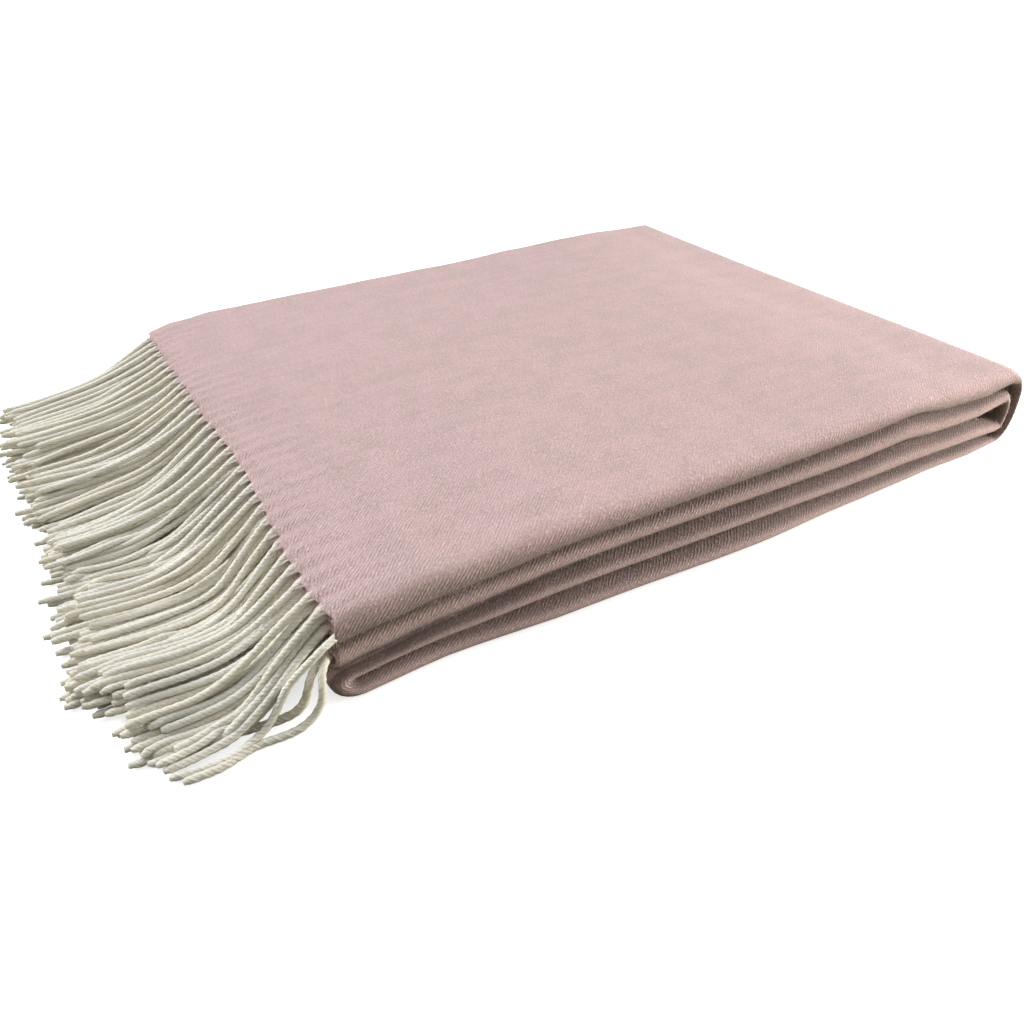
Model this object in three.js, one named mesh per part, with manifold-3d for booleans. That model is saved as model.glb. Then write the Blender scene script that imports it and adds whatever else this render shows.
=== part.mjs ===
// A wool throw, folded into quarters along and across, with a twisted fringe on two of its
// layers' ends. Millimetres, +Z up. The origin is the centre of the bounding box's underside.
// X runs along the folded throw from the fringed end to the last fold, Y from front to back.
import * as THREE from "three";
import { mergeVertices } from "three/addons/utils/BufferGeometryUtils.js";
import Module from "manifold-3d";

const wasm = await Module();
wasm.setup();

// The folded throw
const LENGTH = 390;
const WIDTH = 325;
const CLOTH = 2.2;
const LAYER_GAP = 0.5;
const LEG_GAP = 0.9;
const SELVEDGE_BACK = 3;
const INNER_SELVEDGE_BACK = 7;

// The fringe: rows of strands, and the narrow strip of cloth end that each fringe hangs from
const STRANDS_PER_ROW = 33;
const PITCH = 9.5;
const HEM_MARGIN = (WIDTH - STRANDS_PER_ROW * PITCH) / 2;
const STRAND_LENGTH = 92;
const STRAND_RADIUS = 2.5;
const ROOT_RADIUS = 1.3;
const TIP_RADIUS = 1.8;
const STRAND_STEPS = [0, 0.07, 0.18, 0.34, 0.52, 0.75, 1];
const EDGE_GAP = 0.3;
const STRIP_DEPTH = 2.4;
const ROOT_SINK = 1.2;

// How much longer or shorter a strand is than the next, and the turn between neighbours.
const LENGTHS = { spread: 0.07, turn: 2.4, rowTurn: 1.7 };

// The way a row drops to where it rests: the lowest row's drop, and more for each row above.
const DROP = { first: 34, perRow: 9, rise: 4.5 };

// Strands fan out at the front and back ends of the row, gather in locks, and swing together.
const FAN = { front: -11, frontReach: 60, back: 5, backReach: 75 };
const LOCKS = { size: 4.2, period: 85, rowTurn: 2.3, full: 0.55 };
const SWING = { size: 5, period: 440, rowTurn: 0.9, along: 4.2, full: 0.4 };

const PINK = 0xd3bcbd;
const CREAM = 0xe6e2d6;

// Each leg is the cloth folded in four across its width: a is the top leg, b and c the middle
// ones and d the one on the floor. At x along the throw a row gives each leg's pressed height,
// the hollow between legs b and c, how far each leg's front edge lies behind the front plane,
// and the share of its height that the stack loses along its back edge.
const COLUMNS = ["x", "a", "b", "hollow", "c", "d", "frontA", "frontB", "frontC", "frontD", "sink"];
const SECTIONS = [
  [0, 14.0, 13.0, 0.9, 4.5, 5.5, 2.0, 6.0, 3.0, 0.5, 0.14],
  [20, 13.5, 13.5, 0.9, 3.8, 8.5, 1.5, 6.0, 3.8, 2.5, 0.1],
  [45, 13.0, 13.2, 0.9, 5.5, 9.5, 1.5, 6.0, 4.0, 3.9, 0.09],
  [105, 12.2, 12.0, 0.9, 8.0, 10.5, 2.0, 5.5, 3.0, 0.0, 0.1],
  [200, 11.8, 12.0, 0.9, 8.6, 10.5, 2.5, 4.0, 1.0, -2.8, 0.085],
  [262, 10.8, 13.5, 0.9, 10.5, 8.5, 2.5, 3.2, 1.5, 0.2, 0.045],
  [300, 7.8, 15.0, 0.9, 13.0, 7.5, 2.0, 3.0, 2.2, 1.6, 0.02],
  [325, 11.5, 12.5, 0.9, 11.3, 7.2, 2.0, 3.0, 2.4, 2.4, 0.005],
  [352, 11.0, 11.8, 0.9, 11.5, 6.6, 2.0, 3.4, 2.6, 2.0, 0],
  [377, 9.0, 8.0, 13.0, 6.0, 5.6, 3.0, 4.0, 3.6, 4.0, 0],
].map((row) => Object.fromEntries(COLUMNS.map((name, i) => [name, row[i]])));

// Where the fringed end of each open leg lies along X.
const OPEN_ENDS = { a: 3, b: 2 };

// The fringed edge's slow sway along X, the first stretch from the front that shows it, and how
// far along the throw it fades.
const HEM_SWAY = { size: 2.4, period: 192, centre: 84, until: 150, taper: 60, fade: 70 };

// Where the stack starts to sink towards its back edge, and the low waves of its top.
const BACK_SINK = { from: 180, reach: 150 };
const WAVES = { share: 0.012, alongPeriod: 383, acrossPeriod: 364, along: 0.7, across: 1.1 };

// The rounded folds: how far their faces reach past the fold's centre, and how square they are.
const LAST_FOLD = { outer: 14.5, wrap: 6.3, roundness: 2.4 };
const NOSE_FOLD = { reach: 11.5, inner: 2.5, roundness: 2.2 };

// Steps along each leg, round each fold, and along and round the cloth's width.
const LEG_STEPS = 8;
const FOLD_STEPS = 6;
const RUN_STEPS = 5;
const FRONT_STEPS = 6;
const TURN_STEPS = 4;

const MERGE_DISTANCE = 1e-4;
const TURN = 2 * Math.PI;
const QUARTER = Math.PI / 2;

function mix(a, b, t) {
  return a + (b - a) * t;
}

function smooth(t) {
  const c = Math.min(1, Math.max(0, t));
  return c * c * (3 - 2 * c);
}

// A column of the table of sections, read smoothly at x.
function column(name, x) {
  const last = SECTIONS.length - 1;
  if (x <= SECTIONS[0].x) return SECTIONS[0][name];
  if (x >= SECTIONS[last].x) return SECTIONS[last][name];
  const i = SECTIONS.findIndex((row) => row.x > x) - 1;
  const [before, after] = [SECTIONS[i], SECTIONS[i + 1]];
  return mix(before[name], after[name], smooth((x - before.x) / (after.x - before.x)));
}

// The floor and ceiling height of each leg at x, stacked with a gap between neighbours.
function stack(x) {
  const levels = {};
  let floor = 0;
  for (const leg of ["d", "c", "b", "a"]) {
    const high = floor + column(leg, x);
    levels[leg] = { low: floor, high };
    floor = high + (leg === "c" ? column("hollow", x) : LEG_GAP);
  }
  return levels;
}

// The outline of the cloth folded in four across its width. Each sample is a point of one face
// and of the other, as [y, n], where n runs from -1/2 to 1/2 through the pressed thickness.
function foldedSection() {
  const pitch = CLOTH + LAYER_GAP;
  const thickness = 4 * CLOTH + 3 * LAYER_GAP;
  const outer = 1.5 * pitch;
  const inner = 0.5 * pitch;
  const frontCentre = outer + CLOTH / 2;
  const backCentre = WIDTH - inner - CLOTH / 2;
  const samples = [];
  const add = (y, n, ny, nn) => {
    const half = CLOTH / 2;
    const face = (side) => [y + side * half * ny, (n + side * half * nn) / thickness];
    samples.push({ left: face(1), right: face(-1) });
  };
  const run = (from, to, n, nn, skipFirst) => {
    for (let i = skipFirst ? 1 : 0; i <= RUN_STEPS; i += 1) add(mix(from, to, i / RUN_STEPS), n, 0, nn);
  };
  const bend = (y, n, radius, from, to, steps, side) => {
    for (let i = 1; i <= steps; i += 1) {
      const angle = mix(from, to, i / steps);
      const c = Math.cos(angle);
      const s = Math.sin(angle);
      add(y + radius * c, n + radius * s, side * c, side * s);
    }
  };
  run(WIDTH - SELVEDGE_BACK, frontCentre, outer, 1, false);
  bend(frontCentre, 0, outer, QUARTER, 3 * QUARTER, FRONT_STEPS, 1);
  run(frontCentre, backCentre, -outer, -1, true);
  bend(backCentre, -outer + inner, inner, -QUARTER, QUARTER, TURN_STEPS, 1);
  run(backCentre, frontCentre, -inner, 1, true);
  bend(frontCentre, 0, inner, 3 * QUARTER, QUARTER, TURN_STEPS, -1);
  run(frontCentre, WIDTH - INNER_SELVEDGE_BACK, inner, -1, true);
  return samples;
}

// A point of a rounded fold: a superellipse about (x, z), at an angle from +X.
function bendPoint(x, z, reach, rise, angle, roundness) {
  const c = Math.cos(angle);
  const s = Math.sin(angle);
  const power = 2 / roundness;
  return [
    x + reach * Math.sign(c) * Math.abs(c) ** power,
    z + rise * Math.sign(s) * Math.abs(s) ** power,
  ];
}

// The stations along the cloth, from the top leg's fringed end round the folds to the second
// leg's. Each holds its inner and outer point as [x, z] and the leg's front edge.
function stations() {
  const list = [];
  const foldX = LENGTH - LAST_FOLD.outer;
  const noseX = NOSE_FOLD.reach;
  const frontAt = (leg, x) => column(`front${leg.toUpperCase()}`, x);
  const legRun = (leg, from, to, outerIsHigh) => {
    for (let i = 0; i <= LEG_STEPS; i += 1) {
      const x = mix(from, to, i / LEG_STEPS);
      const { low, high } = stack(x)[leg];
      const outer = outerIsHigh ? high : low;
      const inner = outerIsHigh ? low : high;
      list.push({ inner: [x, inner], outer: [x, outer], front: frontAt(leg, x) });
    }
  };
  const fold = (x, centre, from, to, pair, faces, roundness) => {
    for (let i = 1; i < FOLD_STEPS; i += 1) {
      const t = i / FOLD_STEPS;
      const angle = mix(from, to, t);
      const up = Math.sin(angle) > 0 ? 1 : 0;
      const at = (face) => bendPoint(x, centre, face.reach, up ? face.rise : face.fall, angle, roundness);
      const front = mix(frontAt(pair[0], x), frontAt(pair[1], x), smooth(t));
      list.push({ inner: at(faces.inner), outer: at(faces.outer), front });
    }
  };
  const ends = stack(foldX);
  const middle = ends.a.high / 2;
  const reach = (depth) => LAST_FOLD.outer - depth;
  const face = (depth, top, bottom) => ({ reach: reach(depth), rise: top - middle, fall: middle - bottom });
  const { wrap, roundness } = LAST_FOLD;
  const outerFaces = { outer: face(0, ends.a.high, ends.d.low), inner: face(wrap, ends.a.low, ends.d.high) };
  const innerFaces = {
    inner: face(wrap + LEG_GAP, ends.b.high, ends.c.low),
    outer: face(2 * wrap + LEG_GAP, ends.b.low, ends.c.high),
  };
  const nose = stack(noseX);
  const noseMiddle = nose.d.high + LEG_GAP / 2;
  const noseFace = (far, top, bottom) => ({ reach: far, rise: top - noseMiddle, fall: noseMiddle - bottom });
  const noseFaces = {
    outer: noseFace(NOSE_FOLD.reach, nose.c.high, nose.d.low),
    inner: noseFace(NOSE_FOLD.inner, nose.c.low, nose.d.high),
  };
  legRun("a", OPEN_ENDS.a, foldX, true);
  fold(foldX, middle, QUARTER, -QUARTER, ["a", "d"], outerFaces, roundness);
  legRun("d", foldX, noseX, false);
  fold(noseX, noseMiddle, -QUARTER, -3 * QUARTER, ["d", "c"], noseFaces, NOSE_FOLD.roundness);
  legRun("c", noseX, foldX, true);
  fold(foldX, middle, -QUARTER, QUARTER, ["c", "b"], innerFaces, roundness);
  legRun("b", foldX, OPEN_ENDS.b, false);
  return list;
}

// The slow unevenness of the whole stack: its back edge sinks, and its top is gently wavy. The
// underside at z = 0 stays flat.
function settle(x, y, z) {
  const sink = column("sink", x) * smooth((y - BACK_SINK.from) / BACK_SINK.reach);
  const along = Math.sin((TURN * x) / WAVES.alongPeriod + WAVES.along);
  const across = Math.sin((TURN * y) / WAVES.acrossPeriod + WAVES.across);
  return z * (1 - sink + WAVES.share * along * across);
}

// The sway of the fringed edge, as a shift along X.
function hemShift(x, y) {
  const { size, period, centre, until, taper, fade } = HEM_SWAY;
  const sway = size * Math.sin((TURN * (y - centre)) / period);
  return sway * (1 - smooth((y - until) / taper)) * (1 - smooth(x / fade));
}

// A point of the throw: a section sample set into a station.
function place(station, [y, n]) {
  const t = n + 0.5;
  const x = mix(station.inner[0], station.outer[0], t);
  const z = mix(station.inner[1], station.outer[1], t);
  const across = station.front + (y * (WIDTH - station.front)) / WIDTH;
  return [x + hemShift(x, across), across, settle(x, across, z)];
}

// A closed solid through stations: two faces, two edges and an end cap on each end.
function sweep(list, section) {
  const count = section.length;
  const ring = [...section.map((s) => s.left), ...section.map((s) => s.right).reverse()];
  const size = ring.length;
  const positions = list.flatMap((station) => ring.flatMap((sample) => place(station, sample)));
  const index = [];
  for (let s = 0; s + 1 < list.length; s += 1) {
    for (let i = 0; i < size; i += 1) {
      const j = (i + 1) % size;
      const [a, b, c, d] = [s * size + i, s * size + j, (s + 1) * size + i, (s + 1) * size + j];
      index.push(a, b, c, b, d, c);
    }
  }
  const end = (list.length - 1) * size;
  for (let i = 0; i + 1 < count; i += 1) {
    const [a, b, c, d] = [i, i + 1, size - 1 - i, size - 2 - i];
    index.push(a, c, b, b, c, d);
    index.push(end + a, end + b, end + c, end + b, end + d, end + c);
  }
  return outward(geometryOf(positions, index));
}

function geometryOf(positions, index) {
  const geometry = new THREE.BufferGeometry();
  geometry.setAttribute("position", new THREE.Float32BufferAttribute(positions, 3));
  geometry.setIndex(index);
  return geometry;
}

// The signed volume decides whether a closed mesh is inside out.
function outward(geometry) {
  const p = geometry.attributes.position;
  const index = geometry.index.array;
  const [a, b, c] = [new THREE.Vector3(), new THREE.Vector3(), new THREE.Vector3()];
  let volume = 0;
  for (let i = 0; i < index.length; i += 3) {
    a.fromBufferAttribute(p, index[i]);
    b.fromBufferAttribute(p, index[i + 1]);
    c.fromBufferAttribute(p, index[i + 2]);
    volume += a.dot(b.cross(c));
  }
  if (volume > 0) return geometry;
  for (let i = 0; i < index.length; i += 3) {
    [index[i], index[i + 1]] = [index[i + 1], index[i]];
  }
  return geometry;
}

// The middle line of one strand as points with a radius. It leaves its layer's end, drops to the
// height where its row rests, level on the floor or on the row below, and sways with its
// neighbours, so that strands gather in locks without touching.
function strandLine(row, k, edge) {
  const y = HEM_MARGIN + (k + 0.5) * PITCH;
  const [rootX, rootY, rootZ] = place(edge, [y, row.layer]);
  const { level } = row;
  const length = STRAND_LENGTH * (1 + LENGTHS.spread * Math.sin(k * LENGTHS.turn + level * LENGTHS.rowTurn));
  const drop = DROP.first + DROP.perRow * level;
  const frontFan = FAN.front * (1 - smooth(rootY / FAN.frontReach));
  const backFan = FAN.back * smooth((rootY - WIDTH + FAN.backReach) / FAN.backReach);
  const lock = LOCKS.size * Math.sin((TURN * rootY) / LOCKS.period + level * LOCKS.rowTurn);
  const phase = (TURN * rootY) / SWING.period + level * SWING.rowTurn;
  return STRAND_STEPS.map((u) => {
    const swing = SWING.size * Math.sin(phase + u * SWING.along);
    const radius = strandRadius(u);
    const rest = level * DROP.rise + radius / 2;
    const shift = (frontFan + backFan) * smooth(u) + lock * smooth(u / LOCKS.full);
    return {
      x: rootX + ROOT_SINK - u * length,
      y: rootY + shift + swing * smooth(u / SWING.full),
      z: mix(rootZ, rest, smooth((u * length) / drop)),
      radius,
    };
  });
}

// A strand is thin where it leaves the cloth, and tapers to its cut end.
function strandRadius(u) {
  if (u === 1) return TIP_RADIUS;
  return mix(ROOT_RADIUS, STRAND_RADIUS, Math.min(1, u / STRAND_STEPS[2]));
}

// A three-sided strand along a line, flat side down.
function strandSolid(line) {
  const corners = [90, 210, 330].map((degrees) => THREE.MathUtils.degToRad(degrees));
  const positions = line.flatMap((p) => corners.flatMap((angle) => [
    p.x, p.y + p.radius * Math.cos(angle), p.z + p.radius * Math.sin(angle),
  ]));
  const index = [0, 1, 2];
  for (let s = 0; s + 1 < line.length; s += 1) {
    for (let i = 0; i < 3; i += 1) {
      const j = (i + 1) % 3;
      const [a, b, c, d] = [3 * s + i, 3 * s + j, 3 * s + 3 + i, 3 * s + 3 + j];
      index.push(a, c, b, b, c, d);
    }
  }
  const end = 3 * (line.length - 1);
  index.push(end, end + 2, end + 1);
  return outward(geometryOf(positions, index));
}

function toManifold(geometry) {
  const merged = mergeVertices(geometry, MERGE_DISTANCE);
  return new wasm.Manifold(new wasm.Mesh({
    numProp: 3,
    vertProperties: new Float32Array(merged.attributes.position.array),
    triVerts: new Uint32Array(merged.index.array),
  }));
}

function fromManifold(solid) {
  const mesh = solid.getMesh();
  return geometryOf(Array.from(mesh.vertProperties), Array.from(mesh.triVerts));
}

// The fringe of one leg: the ends of its layers as a narrow strip, with rows of strands.
function fringe(edge, section, rows) {
  const shifted = (by) => ({
    inner: [edge.inner[0] - by, edge.inner[1]],
    outer: [edge.outer[0] - by, edge.outer[1]],
    front: edge.front,
  });
  let solid = toManifold(sweep([shifted(EDGE_GAP), shifted(EDGE_GAP + STRIP_DEPTH)], section));
  const roots = shifted(EDGE_GAP + STRIP_DEPTH);
  for (const row of rows) {
    for (let k = 0; k < STRANDS_PER_ROW; k += 1) {
      solid = solid.add(toManifold(strandSolid(strandLine(row, k, roots))));
    }
  }
  return fromManifold(solid);
}

function meshOf(name, geometry, colour, roughness) {
  geometry.computeVertexNormals();
  const material = new THREE.MeshStandardMaterial({ color: colour, roughness, metalness: 0 });
  const mesh = new THREE.Mesh(geometry, material);
  mesh.name = name;
  return mesh;
}

// The middle of the outermost layer, as a share of a leg's thickness.
const OUTER_LAYER = (1.5 * (CLOTH + LAYER_GAP)) / (4 * CLOTH + 3 * LAYER_GAP);

const section = foldedSection();
const along = stations();
const topEnd = along[0];
const secondEnd = along[along.length - 1];

const throwCloth = meshOf("throw_cloth", sweep(along, section), PINK, 0.95);
const upperFringe = meshOf("upper_fringe", fringe(topEnd, section, [
  { level: 3, layer: OUTER_LAYER },
  { level: 2, layer: -OUTER_LAYER },
]), CREAM, 0.9);
const lowerFringe = meshOf("lower_fringe", fringe(secondEnd, section, [
  { level: 1, layer: -OUTER_LAYER },
  { level: 0, layer: OUTER_LAYER },
]), CREAM, 0.9);

const model = new THREE.Group();
model.add(throwCloth, upperFringe, lowerFringe);

// The origin goes to the middle of the underside.
const box = new THREE.Box3().setFromObject(model);
const centre = box.getCenter(new THREE.Vector3());
model.position.set(-centre.x, -centre.y, -box.min.z);

export default model;
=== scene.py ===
"""A folded wool throw with a twisted fringe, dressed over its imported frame.

The throw is one cloth, folded in four across its width and in four along its length, with
strands of twisted yarn on the two layers that end at the open side. Lengths in the classes
are millimetres in the stack's own frame: X runs along the throw from the fringed edge to the
last fold, Y from its front edge to its back edge, Z up from the floor. Meshes are in metres.
"""

import logging
import math
from dataclasses import dataclass, field
from enum import Enum
from functools import cached_property
from typing import Any, Sequence

import bmesh
import bpy
import numpy as np
from mathutils import Matrix, Vector

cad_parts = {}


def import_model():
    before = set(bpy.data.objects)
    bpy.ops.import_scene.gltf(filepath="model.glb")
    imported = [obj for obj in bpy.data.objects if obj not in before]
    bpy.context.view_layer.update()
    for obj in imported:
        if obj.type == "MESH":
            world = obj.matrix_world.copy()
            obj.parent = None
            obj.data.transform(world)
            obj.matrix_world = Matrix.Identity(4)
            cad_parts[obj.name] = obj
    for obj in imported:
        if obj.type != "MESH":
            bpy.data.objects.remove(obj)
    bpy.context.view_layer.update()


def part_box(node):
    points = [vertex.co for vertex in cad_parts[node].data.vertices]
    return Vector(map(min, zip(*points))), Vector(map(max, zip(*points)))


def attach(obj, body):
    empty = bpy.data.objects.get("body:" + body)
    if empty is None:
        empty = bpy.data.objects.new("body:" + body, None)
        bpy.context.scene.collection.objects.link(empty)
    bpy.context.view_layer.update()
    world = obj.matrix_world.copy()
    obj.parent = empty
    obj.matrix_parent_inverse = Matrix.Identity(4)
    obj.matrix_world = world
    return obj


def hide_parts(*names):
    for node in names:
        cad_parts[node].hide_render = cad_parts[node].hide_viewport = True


LOG = logging.getLogger("throw")
MM = 0.001
TURN = 2.0 * math.pi
QUARTER = 0.5 * math.pi
TINY = 1e-9
Array = np.ndarray
Pair = tuple[float, float]
Point = tuple[float, float, float]
Table = dict[str, Array]


def smooth(value: Array | float) -> Array:
    """Gives the soft step of a value between 0 and 1."""
    c = np.clip(value, 0.0, 1.0)
    return c * c * (3.0 - 2.0 * c)


def mix(a: Any, b: Any, share: Any) -> Any:
    """Gives the value a share of the way from a to b."""
    return a + (b - a) * share


class Leg(Enum):
    """The four lengths of the folded throw, from the top one to the one on the floor."""

    TOP = "a"
    SECOND = "b"
    THIRD = "c"
    FLOOR = "d"


@dataclass(frozen=True)
class Rolling:
    """Slow unevenness of soft cloth, as smooth noise over a flat sheet.

    Attributes:
        period: Size of one swell in millimetres.
        seed: Number that fixes the pattern.
        cells: Swells along each side before the pattern comes again.
    """

    period: float
    seed: int
    cells: int = 128

    def at(self, u: Array, v: Array) -> Array:
        """Reads the noise.

        Args:
            u: Places along the cloth in millimetres.
            v: Places across the cloth in millimetres.

        Returns:
            Heights between -1 and 1.
        """
        size = self.cells
        grid = np.random.default_rng(self.seed).uniform(-1.0, 1.0, (size, size))
        a, b = np.broadcast_arrays(u / self.period, v / self.period)
        i, j = np.floor(a).astype(int), np.floor(b).astype(int)
        s, t = smooth(a - i), smooth(b - j)
        near = mix(grid[i % size, j % size], grid[(i + 1) % size, j % size], s)
        far = mix(grid[i % size, (j + 1) % size], grid[(i + 1) % size, (j + 1) % size], s)
        return mix(near, far, t)


# The stack at places x along it: each leg's height, the hollow above leg c, where the legs' front edges
# lie, and the share by which the stack sinks towards its back edge. All but the share in millimetres.
COLUMNS = ("x", "a", "b", "hollow", "c", "d", "front_a", "front_b", "front_c", "front_d", "sink")
SECTIONS = (
    (0, 14.0, 13.0, 0.9, 4.5, 5.5, 2.0, 6.0, 3.0, 0.5, 0.14),
    (20, 13.5, 13.5, 0.9, 3.8, 8.5, 1.5, 6.0, 3.8, 2.5, 0.1),
    (45, 13.0, 13.2, 0.9, 5.5, 9.5, 1.5, 6.0, 4.0, 3.9, 0.09),
    (105, 12.2, 12.0, 0.9, 8.0, 10.5, 2.0, 5.5, 3.0, 0.0, 0.1),
    (200, 11.8, 12.0, 0.9, 8.6, 10.5, 2.5, 4.0, 1.0, -2.8, 0.085),
    (262, 10.8, 13.5, 0.9, 10.5, 8.5, 2.5, 3.2, 1.5, 0.2, 0.045),
    (300, 7.8, 15.0, 0.9, 13.0, 7.5, 2.0, 3.0, 2.2, 1.6, 0.02),
    (325, 11.5, 12.5, 0.9, 11.3, 7.2, 2.0, 3.0, 2.4, 2.4, 0.005),
    (352, 11.0, 11.8, 0.9, 11.5, 6.6, 2.0, 3.4, 2.6, 2.0, 0.0),
    (377, 9.0, 11.0, 6.5, 9.5, 5.6, 3.0, 4.0, 3.6, 4.0, 0.0),
)


@dataclass(frozen=True)
class Stack:
    """The folded stack's sizes, and where a point of the folded cloth lies in it."""

    length: float = 390.0
    width: float = 325.0
    cloth: float = 2.2
    layer_gap: float = 0.5
    leg_gap: float = 0.9
    top_end: float = 3.0
    second_end: float = 2.0
    last_reach: float = 14.5
    last_wrap: float = 6.3
    last_roundness: float = 2.4
    nose_reach: float = 11.5
    nose_inner: float = 2.5
    nose_roundness: float = 2.2
    sway: float = 2.4
    sway_period: float = 192.0
    sway_centre: float = 84.0
    sway_until: float = 150.0
    sway_taper: float = 60.0
    sway_fade: float = 70.0
    sink_from: float = 180.0
    sink_reach: float = 150.0
    wave_share: float = 0.012
    wave_along: float = 383.0
    wave_across: float = 364.0
    wave_phases: tuple[float, float] = (0.7, 1.1)

    @property
    def pitch(self) -> float:
        """Distance between the middles of two layers before they are pressed."""
        return self.cloth + self.layer_gap

    @property
    def thickness(self) -> float:
        """Height of the four layers of one leg before they are pressed."""
        return 4.0 * self.cloth + 3.0 * self.layer_gap

    @property
    def outer_bend(self) -> float:
        """Radius to the middle of the outer layer, where the cloth turns at the front."""
        return 1.5 * self.pitch

    @property
    def inner_bend(self) -> float:
        """Radius to the middle of the inner layer, where the cloth turns at the front."""
        return 0.5 * self.pitch

    @property
    def fold_x(self) -> float:
        """Where the last fold's centre lies."""
        return self.length - self.last_reach

    def column(self, name: str, x: Array | float) -> Array:
        """Reads one column of the table of sections, softly between its rows.

        Args:
            name: The column's name.
            x: Places along the throw.

        Returns:
            The column's values there.
        """
        table = np.array(SECTIONS, dtype=float)
        xs, values = table[:, 0], table[:, COLUMNS.index(name)]
        at = np.clip(np.asarray(x, dtype=float), xs[0], xs[-1])
        i = np.clip(np.searchsorted(xs, at, side="right") - 1, 0, len(xs) - 2)
        return mix(values[i], values[i + 1], smooth((at - xs[i]) / (xs[i + 1] - xs[i])))

    def levels(self, x: Array | float) -> dict[Leg, tuple[Array, Array]]:
        """Finds how high the legs lie.

        Args:
            x: Places along the throw.

        Returns:
            Each leg's lowest and highest height there.
        """
        found: dict[Leg, tuple[Array, Array]] = {}
        floor: Array = np.zeros_like(np.asarray(x, dtype=float))
        for leg in (Leg.FLOOR, Leg.THIRD, Leg.SECOND, Leg.TOP):
            high = floor + self.column(leg.value, x)
            found[leg] = (floor, high)
            floor = high + (self.column("hollow", x) if leg is Leg.THIRD else self.leg_gap)
        return found

    def settle(self, x: Array, y: Array, z: Array) -> Array:
        """Lets the stack sink towards its back edge and wave gently on top.

        Args:
            x: Places along the throw.
            y: Places across it.
            z: Heights before it settles.

        Returns:
            The heights after it.
        """
        sink = self.column("sink", x) * smooth((y - self.sink_from) / self.sink_reach)
        along = np.sin(TURN * x / self.wave_along + self.wave_phases[0])
        across = np.sin(TURN * y / self.wave_across + self.wave_phases[1])
        return z * (1.0 - sink + self.wave_share * along * across)

    def hem_shift(self, x: Array, y: Array) -> Array:
        """Gives the slow sway of the fringed edge.

        Args:
            x: Places along the throw.
            y: Places across it.

        Returns:
            Shifts along X.
        """
        sway = self.sway * np.sin(TURN * (y - self.sway_centre) / self.sway_period)
        towards_back = 1.0 - smooth((y - self.sway_until) / self.sway_taper)
        return sway * towards_back * (1.0 - smooth(x / self.sway_fade))

    def place(self, inner: Array, outer: Array, front: Array, y: Array, n: Array) -> Array:
        """Sets points of the folded section into stations.

        Args:
            inner: The stations' inner points as [x, z].
            outer: The stations' outer points as [x, z].
            front: The front edge of each station's leg.
            y: Places across the section.
            n: Places through its thickness, from -0.5 to 0.5.

        Returns:
            Points as [x, y, z].
        """
        share = n + 0.5
        x = mix(inner[..., 0], outer[..., 0], share)
        z = mix(inner[..., 1], outer[..., 1], share)
        across = front + y * (self.width - front) / self.width
        return np.stack([x + self.hem_shift(x, across), across, self.settle(x, across, z)], axis=-1)


@dataclass(frozen=True)
class Frame:
    """Moves millimetres of the stack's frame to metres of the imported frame."""

    shift: tuple[float, float]

    @classmethod
    def of(cls, stack: Stack) -> "Frame":
        """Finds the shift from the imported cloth, whose far corner is the stack's."""
        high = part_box("throw_cloth")[1]
        return cls((high[0] - stack.length * MM, high[1] - stack.width * MM))

    def metres(self, points: Array) -> Array:
        """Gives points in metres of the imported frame."""
        return np.asarray(points) * MM + np.array([self.shift[0], self.shift[1], 0.0])


Feed = Any
Feeds = dict[str | int, Feed]
Socket = bpy.types.NodeSocket
FLOAT, VECTOR = "NodeSocketFloat", "NodeSocketVector"


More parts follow.
